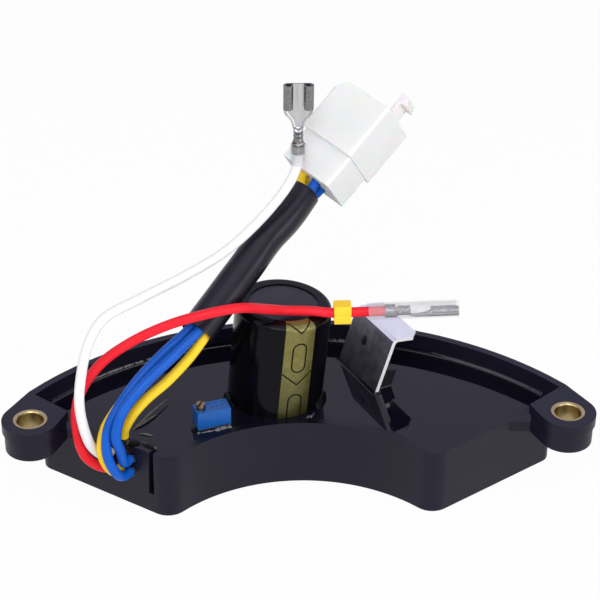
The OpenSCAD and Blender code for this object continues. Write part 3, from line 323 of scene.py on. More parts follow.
# Soft black PVC tubing over the four wires: satin with faint flow lines.
LOOM_PVC = Finish("black_pvc_tubing", "#0b0a14", "#100f1b", 0.30, 0.05, 0.0, 1.36, 6.0, 2.0, 0.012)
# Natural nylon: milky, light spreads a little under its surface.
NATURAL_NYLON = Finish(
    "natural_nylon", "#e4e4e5", "#eaeaea", 0.5, 0.05, 0.0, 1.45, 6.0, 0.5, 0.008, specular=0.2,
    glow_mm=2.5, glow=0.6)
# Tinned brass of the contacts: pale gold.
CONTACT_BRASS = Finish("tinned_brass_contact", "#cdb98a", "#dccba2", 0.28, 0.06, 1.0, 1.5, 1.0, 0.3, 0.01)
# Tinned copper strands: grey with a copper cast.
COPPER_STRAND = Finish("tinned_copper", "#b89a86", "#cfbcae", 0.28, 0.08, 1.0, 1.5, 0.8, 0.25, 0.01)
# Clear PVC cover: thin and glossy, with flow marks.
CLEAR_PVC = Finish(
    "clear_pvc_cover", "#a4a4ac", "#d4d4da", 0.10, 0.05, 0.0, 1.4, 3.0, 1.5, 0.02, alpha=0.17)
# Yellow vinyl of the marker: matt.
MARKER_VINYL = Finish(
    "yellow_vinyl_marker", "#f8c624", "#fdd242", 0.5, 0.06, 0.0, 1.45, 2.0, 0.4, 0.01, specular=0.25)
# Pieces that the epoxy hides: glass-epoxy board, ceramic, polyester film, lacquer and rubber.
LAMINATE = Finish("green_glass_epoxy", "#1f5a34", "#2b6d43", 0.40, 0.05, 0.0, 1.5, 2.0, 0.3, 0.01)
CERAMIC = Finish("white_ceramic", "#dcd9d0", "#e8e6de", 0.6, 0.05, 0.0, 1.6, 1.5, 0.2, 0.01)
FILM_CASE = Finish("red_polyester_case", "#9a2a1c", "#b13a2a", 0.35, 0.05, 0.0, 1.5, 1.5, 0.3, 0.01)
LACQUER = Finish("tan_resistor_lacquer", "#c09a67", "#cfae80", 0.42, 0.05, 0.0, 1.5, 1.0, 0.2, 0.01)
RUBBER = Finish("black_butyl_rubber", "#17181a", "#202123", 0.6, 0.05, 0.0, 1.5, 1.5, 0.2, 0.01)

HIDDEN_FINISHES: dict[str, Finish] = {
    "circuit_board": LAMINATE,
    "capacitor_can": CAN_ALUMINIUM,
    "capacitor_bung": RUBBER,
    "capacitor_pins": TIN_PLATE,
    "trimmer_pins": TIN_PLATE,
    "rectifier_diodes": MOULD_COMPOUND,
    "diode_leads": TIN_PLATE,
    "power_resistors": CERAMIC,
    "resistor_leads": TIN_PLATE,
    "film_capacitors": FILM_CASE,
    "signal_resistors": LACQUER,
    "signal_leads": TIN_PLATE,
    "driver_transistors": MOULD_COMPOUND,
    "driver_leads": TIN_PLATE,
}


def dress(node: str, finish: Finish) -> bpy.types.Object:
    """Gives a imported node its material.

    Args:
        node: Name of the node.
        finish: Its finish.

    Returns:
        The node's object.
    """
    obj = NODES[node]
    obj.data.materials.clear()
    obj.data.materials.append(finish.build())
    LOG.info("node %s: %s", node, finish.name)
    return obj


def new_piece(
    name: str, bm: bmesh.types.BMesh, finish: Finish, nodes: Sequence[str] = (),
    body: Body = Body.REGULATOR, crease: float = 35.0
) -> bpy.types.Object:
    """Makes a piece that rides on a body.

    Args:
        name: Name of the piece.
        bm: Its mesh in the row frame, which is used up.
        finish: Its finish.
        nodes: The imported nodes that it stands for.
        body: The body that it rides on.
        crease: Angle in degrees over which an edge stays sharp.

    Returns:
        The new object.
    """
    for face in bm.faces:
        face.smooth = True
    for edge in bm.edges:
        edge.smooth = not edge.is_manifold or edge.calc_face_angle(0.0) < math.radians(crease)
    mesh = bpy.data.meshes.new(name)
    bm.to_mesh(mesh)
    bm.free()
    mesh.materials.append(finish.build())
    obj = bpy.data.objects.new(name, mesh)
    bpy.context.scene.collection.objects.link(obj)
    weighted = obj.modifiers.new("even_shading", "WEIGHTED_NORMAL")
    weighted.keep_sharp = True
    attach(obj, body.value)
    if nodes:
        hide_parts(*nodes)
    LOG.info("piece %s: %d faces", name, len(mesh.polygons))
    return obj


def eased(
    node: str, name: str, finish: Finish, edge_mm: float, steps: int = 2,
    body: Body = Body.REGULATOR
) -> bpy.types.Object:
    """Makes a piece from a node's own shape with its sharp edges eased.

    Args:
        node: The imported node, which the piece replaces.
        name: Name of the piece.
        finish: Its finish.
        edge_mm: Width of the eased edges.
        steps: Faces across an eased edge.
        body: The body that it rides on.

    Returns:
        The new object.
    """
    bm = bmesh.new()
    bm.from_mesh(NODES[node].data)
    bmesh.ops.remove_doubles(bm, verts=bm.verts, dist=WELD_MM * MM)
    bmesh.ops.dissolve_limit(
        bm, angle_limit=math.radians(FLAT_ANGLE), verts=bm.verts, edges=bm.edges, delimit={"NORMAL"})
    sharp = [e for e in bm.edges if e.is_manifold and e.calc_face_angle(0.0) > math.radians(SHARP_ANGLE)]
    if edge_mm > 0:
        bmesh.ops.bevel(
            bm, geom=sharp, offset=edge_mm * MM, segments=steps, profile=0.5, affect="EDGES",
            clamp_overlap=True)
    return new_piece(name, bm, finish, [node], body)


def add_finish(
    obj: bpy.types.Object, finish: Finish, chosen: Callable[[bpy.types.MeshPolygon], bool]
) -> None:
    """Gives some faces of a made piece another finish.

    Args:
        obj: The piece.
        finish: The other finish.
        chosen: Picks the faces.
    """
    obj.data.materials.append(finish.build())
    last = len(obj.data.materials) - 1
    for face in obj.data.polygons:
        if chosen(face):
            face.material_index = last


def flowing(points: Sequence[Vector], step_mm: float = 0.8) -> list[Vector]:
    """Draws a smooth line through route points.

    Args:
        points: The route points, in the row frame.
        step_mm: Distance between the drawn points.

    Returns:
        Points of a centripetal curve that passes through each route point.
    """
    line: list[Vector] = []
    padded = [points[0] * 2 - points[1], *points, points[-1] * 2 - points[-2]]
    for a, b, c, d in zip(padded, padded[1:], padded[2:], padded[3:]):
        count = max(2, int((c - b).length / (step_mm * MM)))
        t0, t1 = 0.0, (b - a).length ** 0.5
        t2 = t1 + (c - b).length ** 0.5
        t3 = t2 + (d - c).length ** 0.5
        for i in range(count):
            t = t1 + (t2 - t1) * i / count
            ab = a.lerp(b, (t - t0) / (t1 - t0))
            bc = b.lerp(c, (t - t1) / (t2 - t1))
            cd = c.lerp(d, (t - t2) / (t3 - t2))
            abc = ab.lerp(bc, (t - t0) / (t2 - t0))
            bcd = bc.lerp(cd, (t - t1) / (t3 - t1))
            line.append(abc.lerp(bcd, (t - t1) / (t2 - t1)))
    line.append(points[-1].copy())
    return line


def loft(
    bm: bmesh.types.BMesh, rings: Sequence[Sequence[Vector]], around: bool, along: bool, capped: bool = False
) -> None:
    """Adds a skin over rings of points to a mesh.

    Args:
        bm: The mesh.
        rings: Rings with the same number of points.
        around: Whether each ring closes on itself.
        along: Whether the last ring is joined to the first.
        capped: Whether the first and last ring get a face.
    """
    rows = [[bm.verts.new(p) for p in ring] for ring in rings]
    count = len(rows[0])
    pairs = list(zip(rows, rows[1:])) + ([(rows[-1], rows[0])] if along else [])
    for low, high in pairs:
        for k in range(count if around else count - 1):
            j = (k + 1) % count
            bm.faces.new((low[k], low[j], high[j], high[k]))
    if capped:
        bm.faces.new(list(reversed(rows[0])))
        bm.faces.new(rows[-1])


def rings_along(
    line: Sequence[Vector], radius: Callable[[float, float], float], sides: int
) -> list[list[Vector]]:
    """Draws round rings along a line, without twist.

    Args:
        line: Points of the line.
        radius: Radius at a share of the length and an angle.
        sides: Points round each ring.

    Returns:
        One ring for each point of the line.
    """
    rings = []
    normal = Vector((0.3, 0.9, 0.31))
    last = len(line) - 1
    angles = [math.tau * k / sides for k in range(sides)]
    for i, point in enumerate(line):
        along = (line[min(i + 1, last)] - line[max(i - 1, 0)]).normalized()
        normal = (normal - along * normal.dot(along)).normalized()
        side = along.cross(normal)
        rings.append([
            point + (normal * math.cos(a) + side * math.sin(a)) * radius(i / last, a) for a in angles])
    return rings


def swept(
    bm: bmesh.types.BMesh, line: Sequence[Vector], radius: Callable[[float, float], float], sides: int
) -> None:
    """Adds a round rod with closed ends along a line to a mesh, as rings_along draws it."""
    loft(bm, rings_along(line, radius, sides), True, False, True)


def round_outline(radius: float, count: int) -> Outline:
    """Returns the outline of a round foot that grows by a distance."""
    return lambda d: [
        ((radius + d) * math.cos(math.tau * i / count), (radius + d) * math.sin(math.tau * i / count))
        for i in range(count)]


def box_outline(x0: float, y0: float, x1: float, y1: float, steps: int = 6) -> Outline:
    """Returns the outline of a square-cornered foot that grows by a distance with round corners."""
    corners = ((x1, y1, 0.0), (x0, y1, 90.0), (x0, y0, 180.0), (x1, y0, 270.0))

    def grown(d: float) -> list[tuple[float, float]]:
        """Returns the outline at a distance."""
        return [
            (x + d * math.cos(math.radians(start + 90 * i / steps)),
             y + d * math.sin(math.radians(start + 90 * i / steps)))
            for x, y, start in corners for i in range(steps + 1)]

    return grown


def arc_outline(radius: float, first: float, last: float, count: int) -> Outline:
    """Returns the inside of a round wall, from one angle to another, that shrinks by a distance."""
    return lambda d: [
        ((radius - d) * math.cos(math.radians(first + (last - first) * i / count)),
         (radius - d) * math.sin(math.radians(first + (last - first) * i / count)))
        for i in range(count + 1)]


# Feet of the heat sink and the trimmer on the potting.
SINK_FOOT = Seat(row(19.5, 16.06, POTTING_TOP), turned(26.5, "Z"))
TRIMMER_FOOT = Seat(row(-25.2, 1.223, POTTING_TOP), turned(18, "Z"))


@dataclass(frozen=True)
class WireExit:
    """The slot in the left side wall where the wires leave, in columns along the wall and two rows."""

    corner_mm: tuple[float, float] = (32.0, -37.5 + math.sqrt(41.5 ** 2 - 32.0 ** 2))
    side_angle: float = 35.0
    first_mm: float = 11.8
    pitch_mm: float = 2.9
    rows_mm: tuple[float, float] = (10.2, 14.0)

    def place(self, column: int, level: int, out_mm: float = 0.0) -> Vector:
        """Returns where a wire leaves the wall, or a point straight out from there."""
        a = math.radians(self.side_angle)
        s = self.first_mm + column * self.pitch_mm
        x, y = -self.corner_mm[0] - s * math.cos(a), self.corner_mm[1] + s * math.sin(a)
        return row(x - out_mm * math.sin(a), y - out_mm * math.cos(a), self.rows_mm[level])

    def face(self) -> Matrix:
        """Returns axes along the wall, down it and out of it."""
        a = math.radians(self.side_angle)
        along = Vector((-math.cos(a), math.sin(a), 0))
        out = Vector((-math.sin(a), -math.cos(a), 0))
        return Matrix((along, Vector((0, 0, -1)), out)).transposed()


@dataclass(frozen=True)
class Meniscus:
    """Epoxy that has crept up whatever stands in it: a hollow fillet round a foot."""

    seat: Seat
    outline: Outline
    closed: bool
    rise_mm: float
    reach_mm: float
    ragged_mm: float = 0.0

    def add_to(self, bm: bmesh.types.BMesh) -> None:
        """Adds the fillet to a mesh."""
        sunk, gap, steps = 0.3, 0.02, 9
        section = [(gap, -sunk)]
        for i in range(steps + 1):
            share = i / steps
            section.append((gap + self.reach_mm * share ** 1.5, self.rise_mm * (1 - share) ** 2.6))
        section.append((self.reach_mm, -sunk))
        rings = []
        for d, z in section:
            ring = []
            for x, y in self.outline(d):
                p = self.seat.at(x, y, z)
                lift = self.ragged_mm * noise.noise(p / MM * 0.6) * max(0.0, z) / self.rise_mm
                ring.append(self.seat.at(x, y, z + lift))
            rings.append(ring)
        turned_rings = [list(points) for points in zip(*rings)]
        loft(bm, turned_rings, True, self.closed, not self.closed)


@dataclass
class Studio:
    """Camera, lamps, world and floor.

    A lamp has a name, a place in millimetres, a width in metres and a power in watts.
    """

    azimuth: float = -2.768
    elevation: float = 31.537
    roll: float = 0.74
    distance_mm: float = 449.73
    lens_mm: float = 114.31
    target_mm: tuple[float, float, float] = (-0.513, 0.0, 56.113)
    room_light: float = 0.42
    gloss_tint: str = "#e6e4ff"
    aim_mm: tuple[float, float, float] = (0.0, 15.0, 20.0)
    lamps: tuple[tuple[str, tuple[float, float, float], float, float], ...] = (
        ("front_box", (-70, -430, 430), 0.35, 1.58),
        ("side_box", (400, -380, 160), 0.4, 1.4),
        ("left_box", (-460, -260, 420), 0.35, 0.65),
        ("top_box", (120, -60, 620), 0.4, 0.45),
    )
    floor_half_m: float = 3.0
    floor_drop_m: float = 0.0002
    floor_white: float = 0.95
    fibre_mm: float = 2.5

    def build(self) -> None:
        """Sets the camera, the lamps, the world and the floor."""
        self.set_camera()
        self.set_world()
        self.set_lamps()
        self.set_floor()
        bpy.context.scene.view_settings.view_transform = "Standard"

    def set_camera(self) -> None:
        """Puts the camera where the photograph was taken."""
        az, el, roll = (math.radians(a) for a in (self.azimuth, self.elevation, self.roll))
        back = Vector((math.sin(az) * math.cos(el), -math.cos(az) * math.cos(el), math.sin(el)))
        level = Vector((math.cos(az), math.sin(az), 0.0))
        upright = back.cross(level)
        right = level * math.cos(roll) + upright * math.sin(roll)
        up = back.cross(right)
        data = bpy.data.cameras.new("photo_camera")
        data.lens = self.lens_mm
        data.sensor_width = 36.0
        data.sensor_fit = "HORIZONTAL"
        data.clip_start = 0.01
        data.clip_end = 20.0
        camera = bpy.data.objects.new("photo_camera", data)
        place = row(*self.target_mm) + back * self.distance_mm * MM
        camera.matrix_world = Matrix((
            (right.x, up.x, back.x, place.x), (right.y, up.y, back.y, place.y),
            (right.z, up.z, back.z, place.z), (0, 0, 0, 1)))
        bpy.context.scene.collection.objects.link(camera)
        bpy.context.scene.camera = camera

    def set_world(self) -> None:
        """Makes a white room that the camera, gloss and clear pieces see, and a softer one that lights."""
        world = bpy.data.worlds.new("white_room")
        bpy.context.scene.world = world
        world.use_nodes = True
        tree = world.node_tree
        tree.nodes.clear()
        rays = add_node(tree, "LightPath")
        seen = add_node(tree, "Math", {
            0: rays.outputs["Is Camera Ray"], 1: rays.outputs["Is Transmission Ray"]}, operation="MAXIMUM")
        either = add_node(tree, "Math", {
            0: seen.outputs[0], 1: rays.outputs["Is Glossy Ray"]}, operation="MAXIMUM")
        cool = add_node(tree, "Mix", {
            0: rays.outputs["Is Glossy Ray"], 6: (1, 1, 1, 1), 7: linear(self.gloss_tint)}, data_type="RGBA")
        light = add_node(tree, "Background", {"Color": (1, 1, 1, 1), "Strength": self.room_light})
        white = add_node(tree, "Background", {"Color": cool.outputs[2], "Strength": 1.0})
        mix = add_node(tree, "MixShader", {
            0: either.outputs[0], 1: light.outputs[0], 2: white.outputs[0]})
        add_node(tree, "OutputWorld", {"Surface": mix.outputs[0]})

    def set_lamps(self) -> None:
        """Hangs soft boxes over the camera, at both sides and over the object."""
        for name, place_mm, size, power in self.lamps:
            place = row(*place_mm)
            data = bpy.data.lights.new(name, "AREA")
            data.energy = power
            data.size = size
            lamp = bpy.data.objects.new(name, data)
            lamp.location = place
            lamp.rotation_euler = (row(*self.aim_mm) - place).to_track_quat("-Z", "Y").to_euler()
            bpy.context.scene.collection.objects.link(lamp)

    def set_floor(self) -> None:
        """Lays a white floor that keeps a faint shadow."""
        half = self.floor_half_m
        mesh = bpy.data.meshes.new("floor")
        mesh.from_pydata(
            [(-half, -half, 0), (half, -half, 0), (half, half, 0), (-half, half, 0)], [], [(0, 1, 2, 3)])
        floor = bpy.data.objects.new("floor", mesh)
        floor.location.z = -self.floor_drop_m
        bpy.context.scene.collection.objects.link(floor)
        material = bpy.data.materials.new("white_paper_floor")
        material.use_nodes = True
        tree = material.node_tree
        tree.nodes.clear()
        rays = add_node(tree, "LightPath")
        seen = add_node(tree, "Math", {
            0: rays.outputs["Is Camera Ray"], 1: rays.outputs["Is Glossy Ray"]}, operation="MAXIMUM")
        share = add_node(tree, "Math", {0: seen.outputs[0], 1: self.floor_white}, operation="MULTIPLY")
        fibre = add_node(tree, "TexNoise", {"Scale": 1 / (self.fibre_mm * MM)})
        tone = add_node(tree, "Mix", {
            0: fibre.outputs[0], 6: linear("#f4f4f4"), 7: linear("#f9f9f9")}, data_type="RGBA")
        paper = add_node(tree, "BsdfDiffuse", {"Color": tone.outputs[2]})
        glow = add_node(tree, "Emission", {"Color": (1, 1, 1, 1), "Strength": 1.0})
        mix = add_node(tree, "MixShader", {0: share.outputs[0], 1: paper.outputs[0], 2: glow.outputs[0]})
        add_node(tree, "OutputMaterial", {"Surface": mix.outputs[0]})
        mesh.materials.append(material)


@dataclass
class Receptacle:
    """A blade receptacle pressed from one strip: grip, crimp, neck, shoulder and rolled sides.

    A station gives its place along the strip, the level of its floor, half the floor's width, and the
    radius and angle through which the strip is rolled up on each side.
    """

    seat: Seat
    sheet_mm: float = 0.36
    arc_steps: int = 16
    crimps_to_mm: float = 6.2
    rolls_from_mm: float = 11.4
    rolls_above_mm: float = -0.9
    stations: Table = (
        (0.0, -1.67, 0.0, 1.62, 176), (2.5, -1.67, 0.0, 1.62, 176), (2.7, -1.67, 0.5, 0.9, 75),
        (3.05, -1.5, 0.4, 0.9, 75), (3.25, -1.24, 0.0, 1.21, 178), (3.9, -1.24, 0.0, 1.21, 178),
        (4.05, -1.18, 0.0, 1.13, 178), (4.35, -1.18, 0.0, 1.13, 178), (4.5, -1.24, 0.0, 1.21, 178),
        (4.95, -1.24, 0.0, 1.21, 178), (5.1, -1.18, 0.0, 1.13, 178), (5.4, -1.18, 0.0, 1.13, 178),
        (5.55, -1.24, 0.0, 1.21, 178), (6.1, -1.24, 0.0, 1.21, 178), (6.35, -1.5, 0.6, 0.8, 85),
        (7.3, -1.67, 0.75, 0.8, 88), (8.4, -1.67, 1.2, 0.8, 90), (9.4, -1.67, 2.0, 0.85, 92),
        (10.0, -1.67, 2.4, 0.95, 95), (11.3, -1.67, 2.5, 1.15, 100), (11.5, -1.67, 2.5, 1.2, 268),
        (17.5, -1.67, 2.5, 1.2, 268), (17.8, -1.7, 2.5, 1.22, 268))

    def section(self, floor: float, half: float, radius: float, angle: float) -> list[tuple[float, float]]:
        """Returns the strip's section: its outside from left to right, then its inside back."""
        outside, inside = [], []
        for i in range(self.arc_steps + 1):
            a = math.radians(angle * i / self.arc_steps - 90)
            up = floor + radius + radius * math.sin(a)
            thin = max(radius - self.sheet_mm, 0.1)
            outside.append((half + radius * math.cos(a), up))
            inside.append((half + thin * math.cos(a), floor + radius + thin * math.sin(a)))
        mirrored = [[(-y, z) for y, z in reversed(side)] for side in (outside, inside)]
        return mirrored[0] + outside + list(reversed(mirrored[1] + inside))

    def build(self, name: str, node: str, plate: Finish) -> bpy.types.Object:
        """Makes the receptacle in place of a packed terminal.

        Args:
            name: Name of the piece.
            node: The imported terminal.
            plate: Finish of the flat strip.

        Returns:
            The new object.
        """
        bm = bmesh.new()
        rings = [[self.seat.at(x, y, z) for y, z in self.section(*station)] for x, *station in self.stations]
        loft(bm, rings, True, False, True)
        bmesh.ops.recalc_face_normals(bm, faces=bm.faces)
        piece = new_piece(name, bm, plate, [node], crease=38)
        # The rolled sides and crimped barrels get the darker plate: painted shade.
        add_finish(piece, ROLLED_TIN_PAINTED_SHADE, self.in_painted_shade)
        return piece

    def in_painted_shade(self, face: bpy.types.MeshPolygon) -> bool:
        """Returns whether a face lies on the rolled sides or the crimped barrels, which get the painted
        shade.
        """
        own = self.seat.turn.transposed() @ (face.center - self.seat.origin) / MM
        return own.x < self.crimps_to_mm or (own.x > self.rolls_from_mm and own.z > self.rolls_above_mm)


@dataclass
class Ends:
    """The connector, the blade terminals with their covers, the bare strands and the marker."""

    core_mm: float = 1.7
    strands: int = 6
    grip_mm: float = 2.6
    bare_mm: float = 3.5
    red_roll: float = -30.0
    white_roll: float = 90.0

    def build(self, red: Sequence[Vector], white: Sequence[Vector]) -> dict[str, list[bpy.types.Object]]:
        """Makes what the wires end in.

        Args:
            red: Route of the red wire.
            white: Route of the white wire.

        Returns:
            The pieces on the plug's wires, on the red wire and on the white wire.
        """
        housing = eased("connector_housing", "connector_shell", NATURAL_NYLON, 0.25, 3)
        contacts = eased("connector_contacts", "connector_blades", CONTACT_BRASS, 0.08)
        red_seat, white_seat = self.end_seat(red, self.red_roll), self.end_seat(white, self.white_roll)
        red_blade = Receptacle(red_seat).build("red_receptacle", "red_terminal", RED_TIN)
        white_blade = Receptacle(white_seat).build("white_receptacle", "white_terminal", WHITE_TIN)
        red_cover = dress("red_terminal_sleeve", CLEAR_PVC)
        white_cover = dress("white_terminal_sleeve", CLEAR_PVC)
        marker = eased("wire_marker", "wire_marker_clip", MARKER_VINYL, 0.15)
        self.make_strands([red_seat, white_seat])
        return {
            "plug": [housing, contacts],
            "red": [red_blade, red_cover, marker],
            "white": [white_blade, white_cover],
        }

    def end_seat(self, route: Sequence[Vector], roll: float) -> Seat:
        """Returns a terminal's axes: along the wire's end, a grip's length back from it."""
        t = (route[-1] - route[-2]).normalized()
        turn = (
            Matrix.Rotation(math.atan2(t.y, t.x), 3, "Z") @ Matrix.Rotation(-math.asin(t.z), 3, "Y")
            @ turned(roll, "X"))
        return Seat(route[-1] - t * self.grip_mm * MM, turn)

    def make_strands(self, seats: Sequence[Seat]) -> None:
        """Makes the twisted copper strands of the stripped ends."""
        bm = bmesh.new()
        lay_mm, steps = 14.0, 12
        thin = self.core_mm / 6
        for seat in seats:
            for k in range(self.strands + 1):
                off = 0.0 if k == self.strands else self.core_mm / 3
                line = []
                for i in range(steps + 1):
                    x = self.grip_mm + self.bare_mm * i / steps
                    a = math.tau * (k / self.strands + x / lay_mm)
                    line.append(seat.at(x, off * math.cos(a), off * math.sin(a)))
                swept(bm, line, lambda share, angle: thin * MM, 10)
        new_piece("copper_strands", bm, COPPER_STRAND, ["wire_cores"])


@dataclass
class Leads:
    """The flying leads: six wires, the sleeve over four of them and what they end in."""

    exit: WireExit = WireExit()
    wire_mm: float = 2.5
    spread_mm: float = 2.05
    plug_spread_mm: float = 2.8
    twist: float = -106.5
    entry_mm: float = 3.0
    entry_run_mm: float = 1.0
    plug_mm: tuple[float, float, float] = (4.2, 37.8, 67.7)
    heading: float = 34.6
    rise: float = 37.9
    raised_front: tuple[float, float, float] = (-0.041, -0.852, 0.523)
    loom_mm: Table = (
        (-25, 4.6, 44.3), (-20.1, 10.7, 48.4), (-14.8, 16.8, 52.6), (-8.1, 24.9, 58.3), (-3.3, 29.5, 61.6),
        (2.4, 35.4, 65.9))
    white_mm: Table = (
        (-50.5, -5.2, 17.5), (-52, -7.6, 23.5), (-53, -9, 33), (-52.5, -8, 39.5), (-50.5, -5, 47.5),
        (-47, -1, 52), (-38.5, 4, 54.5), (-27, 11, 57), (-17, 18, 60), (-7, 24, 67.5), (-1.6, 28.4, 73.3),
        (0, 30, 77.5), (0, 30, 82.3))
    red_mm: Table = (
        (-52.5, -4.5, 14.5), (-54.5, -4, 22.5), (-53.5, -3, 31.5), (-48.5, -1, 39), (-41, -0.5, 45),
        (-31.5, -0.5, 50), (-22, -0.5, 53), (-15, 2.5, 52.5), (-8, 8.5, 48.4), (-3.5, 12, 45.8),
        (3, 12.5, 45.2), (7.5, 12, 45), (17, 12, 45.2), (23.5, 12, 45.4))
    blue_1_mm: Table = (
        (-44.8, -8.9, 12.4), (-46.8, -9.3, 17.4), (-47.2, -8.6, 21.7), (-46.5, -7.2, 25.4),
        (-44.3, -5.2, 29.3), (-39.6, -2, 35), (-34, 1.6, 39.7))
    blue_2_mm: Table = (
        (-43.9, -8.6, 19.5), (-44.7, -9.4, 23.7), (-43.8, -9, 28.3), (-41.9, -7.4, 31.6), (-36.9, -4.4, 36.6),
        (-30.9, -0.6, 40.8))
    yellow_1_mm: Table = (
        (-47.3, -6.9, 13.6), (-48.5, -7, 18), (-47.8, -5.2, 22.8), (-44.5, -1.8, 27.2), (-39, 2.2, 32.6),
        (-32.9, 6, 38))
    yellow_2_mm: Table = (
        (-43.3, -1.5, POTTING_TOP), (-43.3, -1.5, 19.4), (-42.8, -2.4, 21.8), (-40.9, -2.8, 25.7),
        (-37.5, -2.2, 29.8), (-32.3, -0.4, 33.8), (-26.8, 2.2, 39))
    loom_d_mm: float = 9.0
    loom_end_mm: float = 7.8
    loom_wall_mm: float = 0.5
    loom_taper_from: float = 0.7
    loom_slack_mm: float = 0.12
    dent_mm: float = 0.08
    wave_mm: float = 0.06

    def axis(self) -> Vector:
        """Returns the connector's mating direction."""
        h, r = math.radians(self.heading), math.radians(self.rise)
        return Vector((math.cos(r) * math.cos(h), math.cos(r) * math.sin(h), math.sin(r)))

    def leave(self, column: int, level: int) -> list[Vector]:
        """Returns the first two points of a wire in a column and row of the exit."""
        return [self.exit.place(column, level), self.exit.place(column, level, self.wire_mm)]

    def in_loom(self, angle: float) -> list[Vector]:
        """Returns a wire's points through the sleeve and into the connector."""
        axis = self.axis()
        side = axis.cross(Vector(self.raised_front)).normalized()
        face = side.cross(axis)
        last = len(self.loom_mm) - 1

        def off(share: float, spread: float) -> Vector:
            """Returns the wire's distance from the sleeve's middle."""
            turn = math.radians(angle + self.twist * share)
            return (side * math.cos(turn) + face * math.sin(turn)) * spread * MM

        points = [row(*p) + off(i / last, self.spread_mm) for i, p in enumerate(self.loom_mm)]
        end = row(*self.plug_mm) + off(1.0, self.plug_spread_mm)
        run = self.entry_run_mm * MM
        return [*points, end - axis * run, end + axis * (self.entry_mm * MM - run)]

    def build(self) -> None:
        """Makes the ends, the wires and the sleeve."""
        white = self.leave(2, 1) + [row(*p) for p in self.white_mm]
        red = self.leave(2, 0) + [row(*p) for p in self.red_mm]
        blue_1 = self.leave(0, 0) + [row(*p) for p in self.blue_1_mm] + self.in_loom(180)
        blue_2 = self.leave(0, 1) + [row(*p) for p in self.blue_2_mm] + self.in_loom(90)
        yellow_1 = self.leave(1, 0) + [row(*p) for p in self.yellow_1_mm] + self.in_loom(270)
        yellow_2 = [row(*p) for p in self.yellow_2_mm] + self.in_loom(0)
        ends = Ends().build(red, white)
        plug = [*ends["plug"], self.make_sleeve()]
        self.make_wire("white_wire", white, JACKET_WHITE)
        self.make_wire("red_wire", red, JACKET_RED)
        self.make_wire("blue_wire_1", blue_1, JACKET_BLUE)
        self.make_wire("blue_wire_2", blue_2, JACKET_BLUE)
        self.make_wire("yellow_wire_1", yellow_1, JACKET_YELLOW)
        self.make_wire("yellow_wire_2", yellow_2, JACKET_YELLOW)

    def make_wire(
        self, node: str, route: Sequence[Vector], finish: Finish
    ) -> None:
        """Makes one wire as a curve through its route.

        Args:
            node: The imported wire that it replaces.
            route: Its route points.
            finish: Its finish.
        """
        line = flowing(route)
        curve = bpy.data.curves.new(node + "_jacket", "CURVE")
        curve.dimensions = "3D"
        curve.bevel_depth = self.wire_mm / 2 * MM
        curve.bevel_resolution = 4
        curve.use_fill_caps = True
        spline = curve.splines.new("POLY")
        spline.points.add(len(line) - 1)
        for point, place in zip(spline.points, line):
            point.co = (*place, 1.0)
        spline.use_smooth = True
        curve.materials.append(finish.build())
        obj = bpy.data.objects.new(node + "_jacket", curve)
        bpy.context.scene.collection.objects.link(obj)
        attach(obj, Body.REGULATOR.value)
        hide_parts(node)

    def make_sleeve(self) -> bpy.types.Object:
        """Makes the soft sleeve over the four wires.

        Returns:
            The sleeve, a tube with a wall, slightly dented by the wires in it.
        """
        line = flowing([row(*p) for p in self.loom_mm], 0.7)
        wide, narrow = self.loom_d_mm / 2 * MM, self.loom_end_mm / 2 * MM

        start = self.loom_taper_from

        def outer(share: float, angle: float) -> float:
            """Returns the outer radius."""
            taper = wide + (narrow - wide) * max(0.0, (share - start) / (1 - start)) ** 2
            dents = self.dent_mm * math.sin(4 * angle + 2.4 * share)
            waves = self.wave_mm * math.sin(19 * share + angle)
            return taper + (dents + waves - self.loom_slack_mm) * MM

        sides = 40
        outside = rings_along(line, outer, sides)
        inside = rings_along(line, lambda share, a: outer(share, a) - self.loom_wall_mm * MM, sides)
        bm = bmesh.new()
        loft(bm, outside + list(reversed(inside)), True, True)
        bmesh.ops.recalc_face_normals(bm, faces=bm.faces)
        return new_piece("harness_sleeve_tube", bm, LOOM_PVC, ["harness_sleeve"], crease=50)


